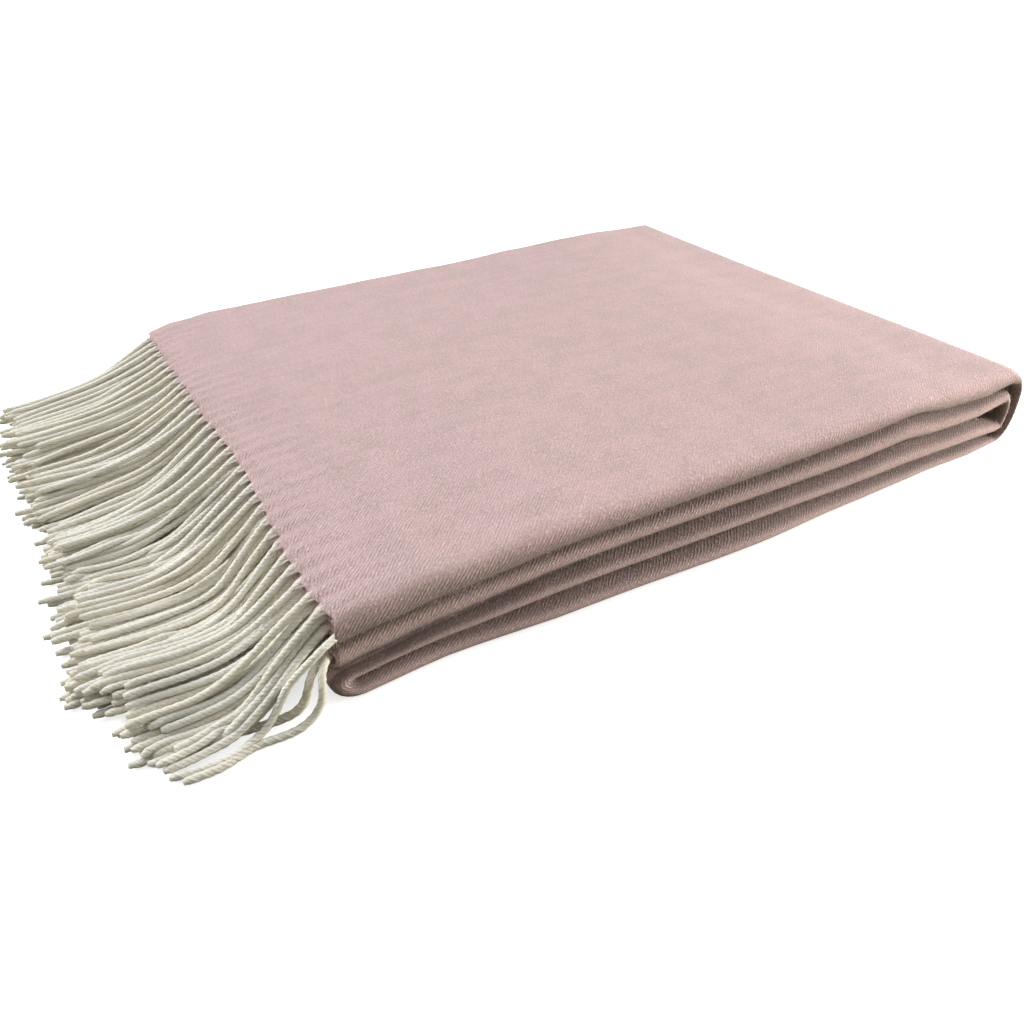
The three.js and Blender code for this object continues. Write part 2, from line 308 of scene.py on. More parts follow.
class Nodes:
    """Adds nodes to one tree and joins them."""

    def __init__(self, tree: bpy.types.NodeTree) -> None:
        """Keeps the tree."""
        self.tree = tree

    def feed(self, socket: bpy.types.NodeSocket, value: Feed) -> None:
        """Links a socket to another, or sets its own value.

        Args:
            socket: The socket.
            value: What it takes: a socket or a constant.
        """
        if isinstance(value, bpy.types.NodeSocket):
            self.tree.links.new(value, socket)
        else:
            socket.default_value = value

    def add(self, kind: str, inputs: Feeds | None = None, **settings: Any) -> bpy.types.Node:
        """Adds a node.

        Args:
            kind: The node's type.
            inputs: Values or sockets for its inputs, by name or place.
            settings: Its own properties.

        Returns:
            The node.
        """
        node = self.tree.nodes.new(kind)
        for name, value in settings.items():
            setattr(node, name, value)
        for key, value in (inputs or {}).items():
            self.feed(node.inputs[key], value)
        return node

    def math(self, operation: str, *values: Feed) -> Socket:
        """Adds a Math node.

        Args:
            operation: What it does.
            values: Its operands.

        Returns:
            Its result.
        """
        return self.add("ShaderNodeMath", dict(enumerate(values)), operation=operation).outputs[0]

    def times(self, a: Feed, b: Feed, plus: Feed = 0.0) -> Socket:
        """Gives a times b, plus a third value."""
        return self.math("MULTIPLY_ADD", a, b, plus)

    def rest(self, value: Feed) -> Socket:
        """Gives 1 less a value."""
        return self.math("SUBTRACT", 1.0, value)

    def vector(self, operation: str, a: Feed, b: Feed) -> Socket:
        """Adds a Vector Math node and gives its result."""
        return self.add("ShaderNodeVectorMath", {0: a, 1: b}, operation=operation).outputs[0]

    def joined(self, x: Feed = 0.0, y: Feed = 0.0, z: Feed = 0.0) -> Socket:
        """Gives the vector of three values."""
        return self.add("ShaderNodeCombineXYZ", {0: x, 1: y, 2: z}).outputs[0]

    def parts(self, vector: Feed) -> Any:
        """Gives the three values of a vector."""
        return self.add("ShaderNodeSeparateXYZ", {0: vector}).outputs

    def ranged(self, value: Feed, low: float, high: float, ends: Pair = (0.0, 1.0)) -> Socket:
        """Maps a value softly from one range to another.

        Args:
            value: The value.
            low: Where its range begins.
            high: Where its range ends.
            ends: The range that it goes to.

        Returns:
            The mapped value.
        """
        inputs: Feeds = {
            "Value": value, "From Min": low, "From Max": high, "To Min": ends[0], "To Max": ends[1],
        }
        node = self.add("ShaderNodeMapRange", inputs, interpolation_type="SMOOTHSTEP")
        return node.outputs["Result"]

    def blend(self, share: Feed, a: Feed, b: Feed) -> Socket:
        """Mixes two colours; a Mix node has its colours at places 6 and 7."""
        return self.add("ShaderNodeMix", {0: share, 6: a, 7: b}, data_type="RGBA").outputs[2]

    def turned(self, vector: Feed, angle: float) -> Socket:
        """Turns a vector about Z."""
        inputs: Feeds = {"Vector": vector, "Angle": angle}
        return self.add("ShaderNodeVectorRotate", inputs, rotation_type="Z_AXIS").outputs[0]

    def noise(self, vector: Feed, scale: Feed, detail: float = 2.0, roughness: float = 0.5) -> Socket:
        """Adds a Noise texture and gives its value."""
        inputs: Feeds = {"Vector": vector, "Scale": scale, "Detail": detail, "Roughness": roughness}
        return self.add("ShaderNodeTexNoise", inputs).outputs[0]

    def streaks(self, vector: Feed, stretch: Point, scale: float) -> Socket:
        """Gives noise that is stretched along the axes."""
        return self.noise(self.vector("MULTIPLY", vector, stretch), scale)


def group(
    name: str, inputs: Sequence[tuple[str, str, Any]], outputs: Sequence[tuple[str, str]],
    kind: str = "ShaderNodeTree",
) -> tuple[bpy.types.NodeTree, Nodes, Any, Any]:
    """Starts a node group.

    Args:
        name: The group's name.
        inputs: Name, socket type and default of each input.
        outputs: Name and socket type of each output.
        kind: The tree's type.

    Returns:
        The tree, its node maker, the sockets of its inputs and those of its outputs.
    """
    tree = bpy.data.node_groups.new(name, kind)
    for title, socket_type, default in inputs:
        socket = tree.interface.new_socket(title, in_out="INPUT", socket_type=socket_type)
        if default is not None:
            socket.default_value = default
    for title, socket_type in outputs:
        tree.interface.new_socket(title, in_out="OUTPUT", socket_type=socket_type)
    nodes = Nodes(tree)
    return tree, nodes, nodes.add("NodeGroupInput").outputs, nodes.add("NodeGroupOutput").inputs


class Effects:
    """The shader groups that the wool finishes share. Their lengths are metres of flat cloth."""

    def __init__(self) -> None:
        """Builds each group once."""
        self.twill = self._twill()
        self.fibres = self._fibres()
        self.melange = self._melange()

    def _twill(self) -> bpy.types.NodeTree:
        """Builds the twill's slanted ribs, broken up into single floats of yarn.

        Returns:
            The group.
        """
        tree, n, into, out = group(
            "Twill ribs",
            [("Cloth", VECTOR, None), ("Ribs per metre", FLOAT, 760.0), ("Waver", FLOAT, 0.7)],
            [("Height", FLOAT)],
        )
        cloth = into["Cloth"]
        parts = n.parts(cloth)
        slant = n.times(n.math("ADD", parts[0], parts[1]), math.sqrt(0.5))
        uneven = n.math("SUBTRACT", n.noise(cloth, 260.0), 0.5)
        phase = n.times(slant, into["Ribs per metre"], n.times(uneven, into["Waver"]))
        wave = n.math("SINE", n.times(phase, TURN))
        stretched = n.vector("MULTIPLY", n.turned(cloth, math.pi / 4), (1.0, 2.2, 1.0))
        floats = n.ranged(n.noise(stretched, 560.0, 1.0), 0.38, 0.66, (0.1, 1.0))
        n.feed(out["Height"], n.times(n.times(wave, 0.5, 0.5), floats))
        return tree

    def _fibres(self) -> bpy.types.NodeTree:
        """Builds brushed fibres: fine streaks that run two ways.

        Returns:
            The group.
        """
        tree, n, into, out = group(
            "Brushed fibres",
            [("Cloth", VECTOR, None), ("Per metre", FLOAT, 1800.0), ("Stretch", FLOAT, 0.3)],
            [("Height", FLOAT), ("Bright", FLOAT)],
        )
        cloth = into["Cloth"]
        drift = n.add("ShaderNodeTexNoise", {"Vector": cloth, "Scale": 90.0, "Detail": 1.0})
        bend = n.vector("MULTIPLY", drift.outputs[1], (0.004, 0.004, 0.0))
        bent = n.vector("ADD", cloth, bend)
        ways = []
        for angle in (0.2, 0.85):
            parts = n.parts(n.turned(bent, angle))
            streak = n.joined(n.times(parts[0], into["Stretch"]), parts[1], parts[2])
            ways.append(n.noise(streak, into["Per metre"], 3.0, 0.65))
        height = n.math("MAXIMUM", *ways)
        n.feed(out["Height"], height)
        n.feed(out["Bright"], n.ranged(height, 0.5, 0.74))
        return tree

    def _melange(self) -> bpy.types.NodeTree:
        """Builds the mottled mix of dyed and undyed wool.

        Returns:
            The group. Fine is the grain of single yarns, and Patches the slow greyish clouds,
            drawn out along the warp and the weft.
        """
        tree, n, into, out = group(
            "Melange",
            [("Cloth", VECTOR, None), ("Grain per metre", FLOAT, 800.0)],
            [("Fine", FLOAT), ("Patches", FLOAT)],
        )
        cloth = into["Cloth"]
        fine = n.noise(cloth, into["Grain per metre"], 2.0, 0.6)
        clouds = n.noise(cloth, 62.0, 4.0, 0.62)
        warp = n.streaks(cloth, (0.12, 1.0, 1.0), 150.0)
        weft = n.streaks(cloth, (1.0, 0.18, 1.0), 160.0)
        woven = n.times(warp, 0.34, n.times(weft, 0.12))
        n.feed(out["Fine"], n.ranged(fine, 0.35, 0.68))
        n.feed(out["Patches"], n.ranged(n.times(clouds, 0.54, woven), 0.42, 0.6))
        return tree


Colour = tuple[float, float, float, float]
WHITE: Colour = (1.0, 1.0, 1.0, 1.0)
BLACK: Colour = (0.0, 0.0, 0.0, 1.0)
SOFT_WOOL: dict[str | int, Feed] = {"Sheen Roughness": 0.55, "Specular IOR Level": 0.12}


def tone(red: float, green: float, blue: float) -> Colour:
    """Turns display values into a linear colour, by the sRGB curve.

    Args:
        red: Red from 0 to 255.
        green: Green from 0 to 255.
        blue: Blue from 0 to 255.

    Returns:
        The colour.
    """
    def linear(value: float) -> float:
        """Turns one channel."""
        c = value / 255.0
        return c / 12.92 if c <= 0.04045 else ((c + 0.055) / 1.055) ** 2.4
    return (linear(red), linear(green), linear(blue), 1.0)


def principled(n: Nodes, values: Feeds) -> None:
    """Adds the surface shader with its values, and joins it to the material's output."""
    shader = n.add("ShaderNodeBsdfPrincipled", values)
    n.add("ShaderNodeOutputMaterial", {"Surface": shader.outputs[0]})


def blank(name: str) -> tuple[bpy.types.Material, Nodes]:
    """Makes a material with an empty tree.

    Args:
        name: The material's name.

    Returns:
        The material and its node maker.
    """
    material = bpy.data.materials.new(name)
    material.use_nodes = True
    material.node_tree.nodes.clear()
    return material, Nodes(material.node_tree)


@dataclass(frozen=True)
class BrushedTwill:
    """The finish of the cloth: a pink melange twill with a brushed nap, and shade painted into its colour.

    Attributes:
        shares: How strongly each effect tints the ground; the tints at the twill ribs and at the front edge's
            turns are painted shade.
        fibre_height: Height of the fibres where the ribs stand 1 high.
        relief: Height of the bump in metres.
    """

    ground: Colour = tone(222, 188, 195)
    pale: Colour = tone(244, 228, 224)
    # deep is the darker wool of the grain, and also painted shade in the low parts between the twill ribs.
    deep: Colour = tone(182, 150, 150)
    grey: Colour = tone(186, 177, 172)
    # Painted shade: the dark olive that the front edge's turns between the legs are tinted towards.
    painted_shade: Colour = tone(56, 48, 36)
    shares: dict[str, float] = field(default_factory=lambda: {
        "pale": 0.14, "grey": 0.56, "grain": 0.5, "ribs": 0.55, "fibres": 0.8, "painted_shade": 0.85,
    })
    roughness: float = 0.95
    sheen: float = 0.2
    bump: float = 0.8
    relief: float = 0.00045
    fibre_height: float = 0.55

    def make(self, effects: Effects) -> bpy.types.Material:
        """Builds the material from the piece's own UV map, which is flat cloth in metres.

        Args:
            effects: The shared shader groups.

        Returns:
            The material.
        """
        material, n = blank("brushed_twill")
        cloth = n.add("ShaderNodeUVMap", uv_map="cloth").outputs[0]
        twill, fibres, melange = (
            n.add("ShaderNodeGroup", {"Cloth": cloth}, node_tree=tree).outputs
            for tree in (effects.twill, effects.fibres, effects.melange)
        )
        # Painted shade stored on the cloth where its front edge turns in between two legs.
        sunk = n.add("ShaderNodeAttribute", attribute_name="painted_shade").outputs["Fac"]
        base: Feed = self.ground
        for share, amount, colour in (
            ("pale", n.rest(melange["Patches"]), self.pale), ("grey", melange["Patches"], self.grey),
            # The ribs tint is painted shade in the low parts between the twill ribs; the grain tint is the
            # wool's own tone.
            ("grain", melange["Fine"], self.deep), ("ribs", n.rest(twill["Height"]), self.deep),
            # The last tint is the painted shade at the front edge's turns.
            ("fibres", fibres["Bright"], self.pale), ("painted_shade", sunk, self.painted_shade),
        ):
            base = n.blend(n.times(amount, self.shares[share]), base, colour)
        height = n.times(fibres["Height"], self.fibre_height, twill["Height"])
        bump = n.add("ShaderNodeBump", {"Strength": self.bump, "Distance": self.relief, "Height": height})
        principled(n, SOFT_WOOL | {
            "Base Color": base, "Normal": bump.outputs[0], "Roughness": self.roughness,
            "Sheen Weight": self.sheen,
        })
        return material


@dataclass(frozen=True)
class TwistedWool:
    """The finish of the fringe: undyed twisted yarn, pink where it leaves the cloth, with shade painted into
    its grooves.

    Attributes:
        squeeze: How the fibres are drawn out along a strand.
        girth: Half of a strand's thickness in metres, as the fibres see it.
        lines: Twist lines round a strand.
        waver: How unevenly the twist lines run.
        root_ends: Where the pink of the root begins and ends to fade, in metres.
        relief: Height of the bump in metres.
        glow_depth: How far light runs below the surface, in metres.
    """

    light: Colour = tone(255, 253, 244)
    warm: Colour = tone(251, 242, 222)
    # Painted shade in the grooves between the twist lines.
    groove_shade: Colour = tone(238, 228, 204)
    root: Colour = tone(236, 218, 214)
    squeeze: float = 0.35
    girth: float = 0.0016
    lines: float = 4.0
    waver: float = 3.0
    groove_shade_share: float = 0.35
    fibre_share: float = 0.3
    root_ends: Pair = (0.002, 0.0055)
    roughness: float = 0.9
    sheen: float = 0.25
    bump: float = 0.8
    relief: float = 0.0004
    ridge_height: float = 0.8
    fibre_height: float = 0.7
    glow: float = 0.45
    glow_depth: float = 0.004
    glow_colour: tuple[float, float, float] = (1.0, 0.95, 0.85)

    def make(self, effects: Effects) -> bpy.types.Material:
        """Builds the material from the strands' own attributes.

        Args:
            effects: The shared shader groups.

        Returns:
            The material.
        """
        material, n = blank("twisted_wool")
        around, along, own = (
            n.add("ShaderNodeAttribute", attribute_name=name).outputs[output]
            for name, output in (("around", "Vector"), ("along", "Fac"), ("tone", "Fac"))
        )
        side = n.parts(around)
        yarn = n.joined(
            n.times(along, self.squeeze), n.times(side[0], self.girth), n.times(side[1], self.girth, own),
        )
        fibres = n.add("ShaderNodeGroup", {"Cloth": yarn, "Per metre": 2600.0}, node_tree=effects.fibres)
        grain = n.add("ShaderNodeGroup", {"Cloth": yarn, "Grain per metre": 900.0}, node_tree=effects.melange)
        uneven = n.times(n.math("SUBTRACT", n.noise(yarn, 700.0), 0.5), self.waver)
        angle = n.math("ARCTAN2", side[1], side[0])
        ridge = n.ranged(n.math("COSINE", n.times(angle, self.lines, uneven)), -1.0, 0.3)
        base: Feed = self.light
        for amount, colour in (
            (own, self.warm), (n.times(grain.outputs["Fine"], self.fibre_share), self.warm),
            # Darker between the twist lines: painted shade in the grooves.
            (n.times(n.rest(ridge), self.groove_shade_share), self.groove_shade),
            (n.ranged(along, *self.root_ends, (1.0, 0.0)), self.root),
            (n.times(fibres.outputs["Bright"], self.fibre_share), self.light),
        ):
            base = n.blend(amount, base, colour)
        height = n.times(ridge, self.ridge_height, n.times(fibres.outputs["Height"], self.fibre_height))
        bump = n.add("ShaderNodeBump", {"Strength": self.bump, "Distance": self.relief, "Height": height})
        principled(n, SOFT_WOOL | {
            "Base Color": base, "Normal": bump.outputs[0], "Roughness": self.roughness,
            "Sheen Weight": self.sheen, "Subsurface Weight": self.glow,
            "Subsurface Radius": self.glow_colour, "Subsurface Scale": self.glow_depth,
        })
        return material


@dataclass(frozen=True)
class LooseWool:
    """The finish of the hairs that stand off a piece.

    Attributes:
        name: The material's name.
        light: The palest hairs.
        deep: The darkest hairs.
        patches: How often the tone changes, in each metre.
    """

    name: str
    light: Colour
    deep: Colour
    patches: float = 420.0
    roughness: float = 0.8
    shine: float = 0.2

    def make(self) -> bpy.types.Material:
        """Builds the material, whose tone changes from hair to hair.

        Returns:
            The material.
        """
        material, n = blank(self.name)
        place = n.add("ShaderNodeTexCoord").outputs["Object"]
        share = n.ranged(n.noise(place, self.patches), 0.35, 0.65)
        principled(n, {
            "Base Color": n.blend(share, self.deep, self.light), "Roughness": self.roughness,
            "Specular IOR Level": self.shine,
        })
        return material


def object_of(name: str, data: bpy.types.ID) -> bpy.types.Object:
    """Puts a mesh, a light or a camera into the scene.

    Args:
        name: The object's name.
        data: What it shows.

    Returns:
        The object.
    """
    piece = bpy.data.objects.new(name, data)
    bpy.context.scene.collection.objects.link(piece)
    return piece


def mesh_of(name: str, points: Array, faces: Sequence[Any], edges: Sequence[Any] = ()) -> bpy.types.Mesh:
    """Makes a mesh.

    Args:
        name: The mesh's name.
        points: Points in metres.
        faces: The points of each face.
        edges: The two points of each loose edge.

    Returns:
        The mesh.
    """
    mesh = bpy.data.meshes.new(name)
    mesh.from_pydata(np.asarray(points).reshape(-1, 3).tolist(), edges, faces)
    mesh.update()
    return mesh


def store(mesh: bpy.types.Mesh, name: str, values: Array) -> None:
    """Stores one value for each point of a mesh, as an attribute."""
    attribute = mesh.attributes.new(name, "FLOAT", "POINT")
    attribute.data.foreach_set("value", values.ravel().astype(np.float32))


def read(rows: Any, name: str, size: int) -> Array:
    """Reads one property of each of a mesh's rows.

    Args:
        rows: The mesh's points or an attribute's data.
        name: The property.
        size: How many numbers it has.

    Returns:
        The numbers, row after row.
    """
    found = np.empty(len(rows) * size, dtype=np.float32)
    rows.foreach_get(name, found)
    return found


def outward(mesh: bpy.types.Mesh) -> None:
    """Turns a closed mesh's faces outwards.

    Args:
        mesh: The mesh, which is changed in place.
    """
    work = bmesh.new()
    work.from_mesh(mesh)
    if work.calc_volume(signed=True) < 0:
        bmesh.ops.reverse_faces(work, faces=work.faces)
    work.to_mesh(mesh)
    work.free()


def geometry(name: str, inputs: Sequence[tuple[str, str, Any]]) -> tuple[bpy.types.NodeTree, Nodes, Any, Any]:
    """Starts a geometry tree, whose other inputs follow the geometry itself."""
    shape = ("Geometry", "NodeSocketGeometry")
    return group(name, [(*shape, None), *inputs], [shape], "GeometryNodeTree")


def named(n: Nodes, name: str) -> Socket:
    """Reads a named attribute in a geometry tree."""
    return n.add("GeometryNodeInputNamedAttribute", {"Name": name}, data_type="FLOAT").outputs[0]


def swept(n: Nodes, curve: Feed, cut: Feed, scale: Feed) -> Socket:
    """Sweeps a cut along each curve of a geometry tree, with closed ends.

    Args:
        n: The tree's node maker.
        curve: The curves.
        cut: The cut.
        scale: The cut's size along the curve.

    Returns:
        The solids.
    """
    return n.add("GeometryNodeCurveToMesh", {
        "Curve": curve, "Profile Curve": cut, "Scale": scale, "Fill Caps": True,
    }).outputs[0]


def ring(n: Nodes, sides: int) -> Socket:
    """Gives a circle of radius 1 in a geometry tree."""
    inputs: Feeds = {"Resolution": sides, "Radius": 1.0}
    return n.add("GeometryNodeCurvePrimitiveCircle", inputs, mode="RADIUS").outputs[0]


def finish(n: Nodes, made: Socket, material: bpy.types.Material, out: Any) -> None:
    """Ends a geometry tree: smooth shading, real geometry and its material.

    Args:
        n: The tree's node maker.
        made: The geometry.
        material: Its material.
        out: The tree's output sockets.
    """
    soft = n.add("GeometryNodeSetShadeSmooth", {"Geometry": made, "Shade Smooth": True})
    real = n.add("GeometryNodeRealizeInstances", {"Geometry": soft.outputs[0]})
    dressed = n.add("GeometryNodeSetMaterial", {"Geometry": real.outputs[0], "Material": material})
    n.feed(out[0], dressed.outputs[0])


def grown(name: str, mesh: bpy.types.Mesh, tree: bpy.types.NodeTree, values: dict[str, Any]) -> bpy.types.Mesh:
    """Runs a geometry tree on a mesh.

    Args:
        name: Name of the mesh that comes out.
        mesh: The mesh that goes in.
        tree: The tree.
        values: The tree's own inputs by name.

    Returns:
        The plain mesh, with its faces outwards.
    """
    rough = object_of(f"{name}_rough", mesh)
    modifier = rough.modifiers.new("grow", "NODES")
    modifier.node_group = tree
    for item in tree.interface.items_tree:
        if item.name in values:
            modifier[item.identifier] = values[item.name]
    graph = bpy.context.evaluated_depsgraph_get()
    ready = rough.evaluated_get(graph)
    made = bpy.data.meshes.new_from_object(ready, preserve_all_data_layers=True, depsgraph=graph)
    bpy.data.objects.remove(rough)
    made.name = name
    outward(made)
    return made


Rows = list[tuple[float, ...]]


def fading(x: Array, reach: float) -> Array:
    """Gives 1 up to x = 0, and from there less and less."""
    return np.exp(-np.clip(x, 0.0, None) / reach)


@dataclass(frozen=True)
class Rib:
    """The soft ribs that run into the cloth from the strands' roots.

    Attributes:
        count: How many strands leave one layer.
        pitch: Distance between two strands.
        height: Height of a rib at the edge.
        fade: How far the ribs run into the cloth.
        even: The share of a rib's height that is the same everywhere.
        uneven: The share that comes and goes.
        scallop: How deep the edge is notched between two strands.
        scallop_fade: How far the notches run into the cloth.
    """

    count: int = 33
    pitch: float = 9.5
    height: float = 1.3
    fade: float = 34.0
    even: float = 0.75
    uneven: float = 0.35
    scallop: float = 1.1
    scallop_fade: float = 4.0


@dataclass(frozen=True)
class PaintedShade:
    """How dark a shade is painted into the cloth's colour where the front edge turns in between two legs.

    The painted shade starts at a place through the leg's height, which runs from -0.5 to 0.5, and is
    full after its reach. The open side is the upper half of a leg that lies bare.

    Attributes:
        lower: Depth of the shade below the top leg, where it is 1 there.
        start: Where the shade starts, from the middle.
        reach: How far on it is full.
        open_depth: Depth of the shade that runs on over the open side.
        open_start: Where that shade ends above the middle.
        open_reach: How far on it is full.
    """

    lower: float = 0.75
    start: float = 0.02
    reach: float = 0.25
    open_depth: float = 0.55
    open_start: float = 0.3
    open_reach: float = 0.45


@dataclass(frozen=True)
class Nap:
    """How thickly loose hairs stand on the cloth, place by place, above a height of off_floor."""

    top: float = 1.0
    noses: float = 2.6
    back: float = 1.6
    last_fold: float = 1.5
    hem: float = 3.0
    hem_reach: float = 5.0
    off_floor: float = 7.0


class Part(Enum):
    """The parts of the folded section that the cloth runs through."""

    UPPER_RUN = 0
    FRONT_BEND = 1
    INNER_RUN = 2
    BACK_BEND = 3


@dataclass
class ThrowCloth:
    """The folded cloth: one closed sheet, swept through the folded stack.

    Attributes:
        top_crowding: How strongly the top leg's stations crowd towards the fringe, from 1.
        second_crowding: The same for the second leg.
        roll: How far the front bends are drawn out, as a share of their radius.
        pinch: Thickness of the cloth at its two cut ends, as a share.
        selvedge_bulge: How round the selvedges are, from 0 to 1.
        swell: Height of the slow swells, which are the sum of the shares in swells.
        rib_swell: How the ribs come and go.
        lower_swell: The share of the swells below the top.
        blunt: How far the front bends are drawn out at the fringe, as a share of elsewhere.
        blunt_reach: Where that share is 1.
        selvedge_gap: How far the upper selvedge lies from the back edge.
        inner_selvedge_gap: How far the folded-in selvedge lies from it.
        flat: Width and length of the flat cloth in metres. Not used.
    """

    stack: Stack
    frame: Frame
    rib: Rib = field(default_factory=Rib)
    nap: Nap = field(default_factory=Nap)
    # Settings of the shade painted into the cloth's colour at the front edge's turns.
    painted_shade: PaintedShade = field(default_factory=PaintedShade)
    top_stations: int = 84
    leg_stations: int = 32
    last_steps: int = 22
    nose_steps: int = 14
    run_steps: int = 14
    top_steps: int = 180
    bend_steps: int = 14
    top_crowding: float = 1.35
    second_crowding: float = 1.6
    roll: float = 2.3
    pinch: float = 0.55
    selvedge_bulge: float = 0.8
    swell: float = 0.55
    swells: tuple[tuple[float, Rolling], ...] = (
        (0.55, Rolling(58.0, 11)), (0.3, Rolling(21.0, 12)), (0.15, Rolling(9.0, 13)),
    )
    rib_swell: Rolling = Rolling(19.0, 14)
    lower_swell: float = 0.5
    blunt: float = 0.5
    blunt_reach: float = 190.0
    selvedge_gap: float = 3.0
    inner_selvedge_gap: float = 7.0
    flat: Pair = (1.29, 1.57)

    @property
    def few_steps(self) -> int:
        """Steps of the inner face along the top run, one for every four of the outer face."""
        return self.top_steps // 4

    @property
    def front_bend(self) -> float:
        """How far the outermost front bend reaches across the throw."""
        return self.stack.outer_bend * self.roll + self.stack.cloth / 2.0

    @cached_property
    def section(self) -> Table:
        """The cloth folded in four across its width, as points round its cut.

        Returns:
            For the points round the cut: places y and n of the layer's middle, the reach nn from
            it, the flat distance from the selvedge, the part that they belong to, and which face
            they lie on. Then the count of points of the outer and of the inner face.
        """
        s = self.stack
        outer, inner, half = s.outer_bend, s.inner_bend, s.cloth / 2.0
        front, back = self.front_bend, s.width - inner - half
        small = self.bend_steps // 2

        def run(rows: Rows, ends: Pair, n: float, nn: float, steps: int, part: Part = Part.INNER_RUN) -> None:
            """Adds a straight run.

            Args:
                rows: The rows so far.
                ends: Where the run begins and ends, across the throw.
                n: Its place through the leg.
                nn: Which way the face looks.
                steps: How many rows it takes.
                part: The part of the section that it is.
            """
            walked = rows[-1][4] if rows else 0.0
            for i in range(1 if rows else 0, steps + 1):
                y = mix(ends[0], ends[1], i / steps)
                rows.append((y, n, 0.0, nn, walked + abs(y - ends[0]), part.value))

        def bend(rows: Rows, y: float, n: float, radius: float, turn: Pair, steps: int, side: float) -> None:
            """Adds a bend, drawn out along Y at the front.

            Args:
                rows: The rows so far.
                y: Its centre across the throw.
                n: Its centre through the leg.
                radius: Its radius through the leg.
                turn: The angles where it begins and ends.
                steps: How many rows it takes.
                side: Which way the face looks, as seen from the centre.
            """
            part = Part.FRONT_BEND if y == front else Part.BACK_BEND
            reach = radius * (self.roll if part is Part.FRONT_BEND else 1.0)
            walked = rows[-1][4]
            for i in range(1, steps + 1):
                angle = mix(turn[0], turn[1], i / steps)
                c, e = math.cos(angle), math.sin(angle)
                size = math.hypot(c * radius / reach, e)
                flat = walked + 0.5 * (radius + reach) * abs(angle - turn[0])
                look = (side * c * radius / reach / size, side * e / size)
                rows.append((y + reach * c, n + radius * e, *look, flat, part.value))

        def face(top_steps: int) -> Array:
            """Walks through all four layers.

            Args:
                top_steps: How many rows the top run takes.

            Returns:
                Rows of place across and through, look across and through, flat distance and part.
            """
            rows: Rows = []
            run(rows, (s.width - self.selvedge_gap, front), outer, 1.0, top_steps, Part.UPPER_RUN)
            bend(rows, front, 0.0, outer, (QUARTER, 3 * QUARTER), self.bend_steps, 1.0)
            run(rows, (front, back), -outer, -1.0, self.run_steps)
            bend(rows, back, inner - outer, inner, (-QUARTER, QUARTER), small, 1.0)
            run(rows, (back, front), -inner, 1.0, self.run_steps)
            bend(rows, front, 0.0, inner, (3 * QUARTER, QUARTER), small, -1.0)
            run(rows, (front, s.width - self.inner_selvedge_gap), inner, -1.0, self.run_steps)
            return np.array(rows)

        outer_face, inner_face = face(self.top_steps), face(self.few_steps)
        inner_edge = (outer_face[-1] + inner_face[-1])[None, :] / 2.0
        outer_edge = (outer_face[0] + inner_face[0])[None, :] / 2.0
        cut = np.vstack([outer_face, inner_edge, inner_face[::-1], outer_edge])
        sides = np.repeat([1.0, 0.0, -1.0, 0.0], [len(outer_face), 1, len(inner_face), 1])
        y = cut[:, 0] + half * (sides * cut[:, 2] + self.selvedge_bulge * (sides == 0))
        return {
            "y": y, "n": cut[:, 1] / s.thickness, "nn": sides * half * cut[:, 3] / s.thickness,
            "flat": cut[:, 4], "part": cut[:, 5], "side": sides,
            "outer": np.array(len(outer_face)), "inner": np.array(len(inner_face)),
        }

    @cached_property
    def stations(self) -> Table:
        """The way along the cloth, from one fringed end round the folds to the other.

        Returns:
            The inner and outer points, the front edge, the flat distance walked, the pinch of the
            rounded ends, 1 along the top leg, and how thickly hairs stand there.
        """
        s = self.stack
        rows: Rows = []

        def front(leg: Leg, x: float) -> float:
            """Reads where a leg's front edge lies."""
            return float(s.column(f"front_{leg.value}", x))

        def heights(x: float) -> dict[Leg, tuple[float, float]]:
            """Reads each leg's lowest and highest height."""
            return {leg: (float(low), float(high)) for leg, (low, high) in s.levels(x).items()}

        def run(leg: Leg, xs: Array, outer_high: bool) -> None:
            """Adds the stations of one leg.

            Args:
                leg: The leg.
                xs: Where its stations lie.
                outer_high: Whether the outer face of the cloth looks up.
            """
            top = leg is Leg.TOP
            for x in xs:
                low, high = heights(x)[leg]
                a, b = (low, high) if outer_high else (high, low)
                rows.append((x, a, x, b, front(leg, x), float(top), self.nap.top * top))

        def fold(
            x: float, centre: float, turn: Pair, pair: tuple[Leg, Leg], faces: tuple[Point, Point],
            roundness: float, steps: int, nap: float = 0.0,
        ) -> None:
            """Adds the stations round one fold between two legs.

            Args:
                x: The fold's centre along the throw.
                centre: The height of its centre.
                turn: The angles where it begins and ends.
                pair: The legs that it joins.
                faces: Reach, rise and fall from the centre, of the inner and of the outer face.
                roundness: 2 for an ellipse, more for a boxier fold.
                steps: How many stations it takes.
                nap: How thickly hairs stand there.
            """
            power = 2.0 / roundness
            for i in range(1, steps):
                share = i / steps
                angle = mix(turn[0], turn[1], share)
                c, e = math.cos(angle), math.sin(angle)
                found: list[float] = []
                for reach, rise, fall in faces:
                    found.append(x + reach * math.copysign(abs(c) ** power, c))
                    found.append(centre + (rise if e > 0 else fall) * math.copysign(abs(e) ** power, e))
                edge = float(mix(front(pair[0], x), front(pair[1], x), smooth(share)))
                rows.append((*found, edge, 0.0, nap))

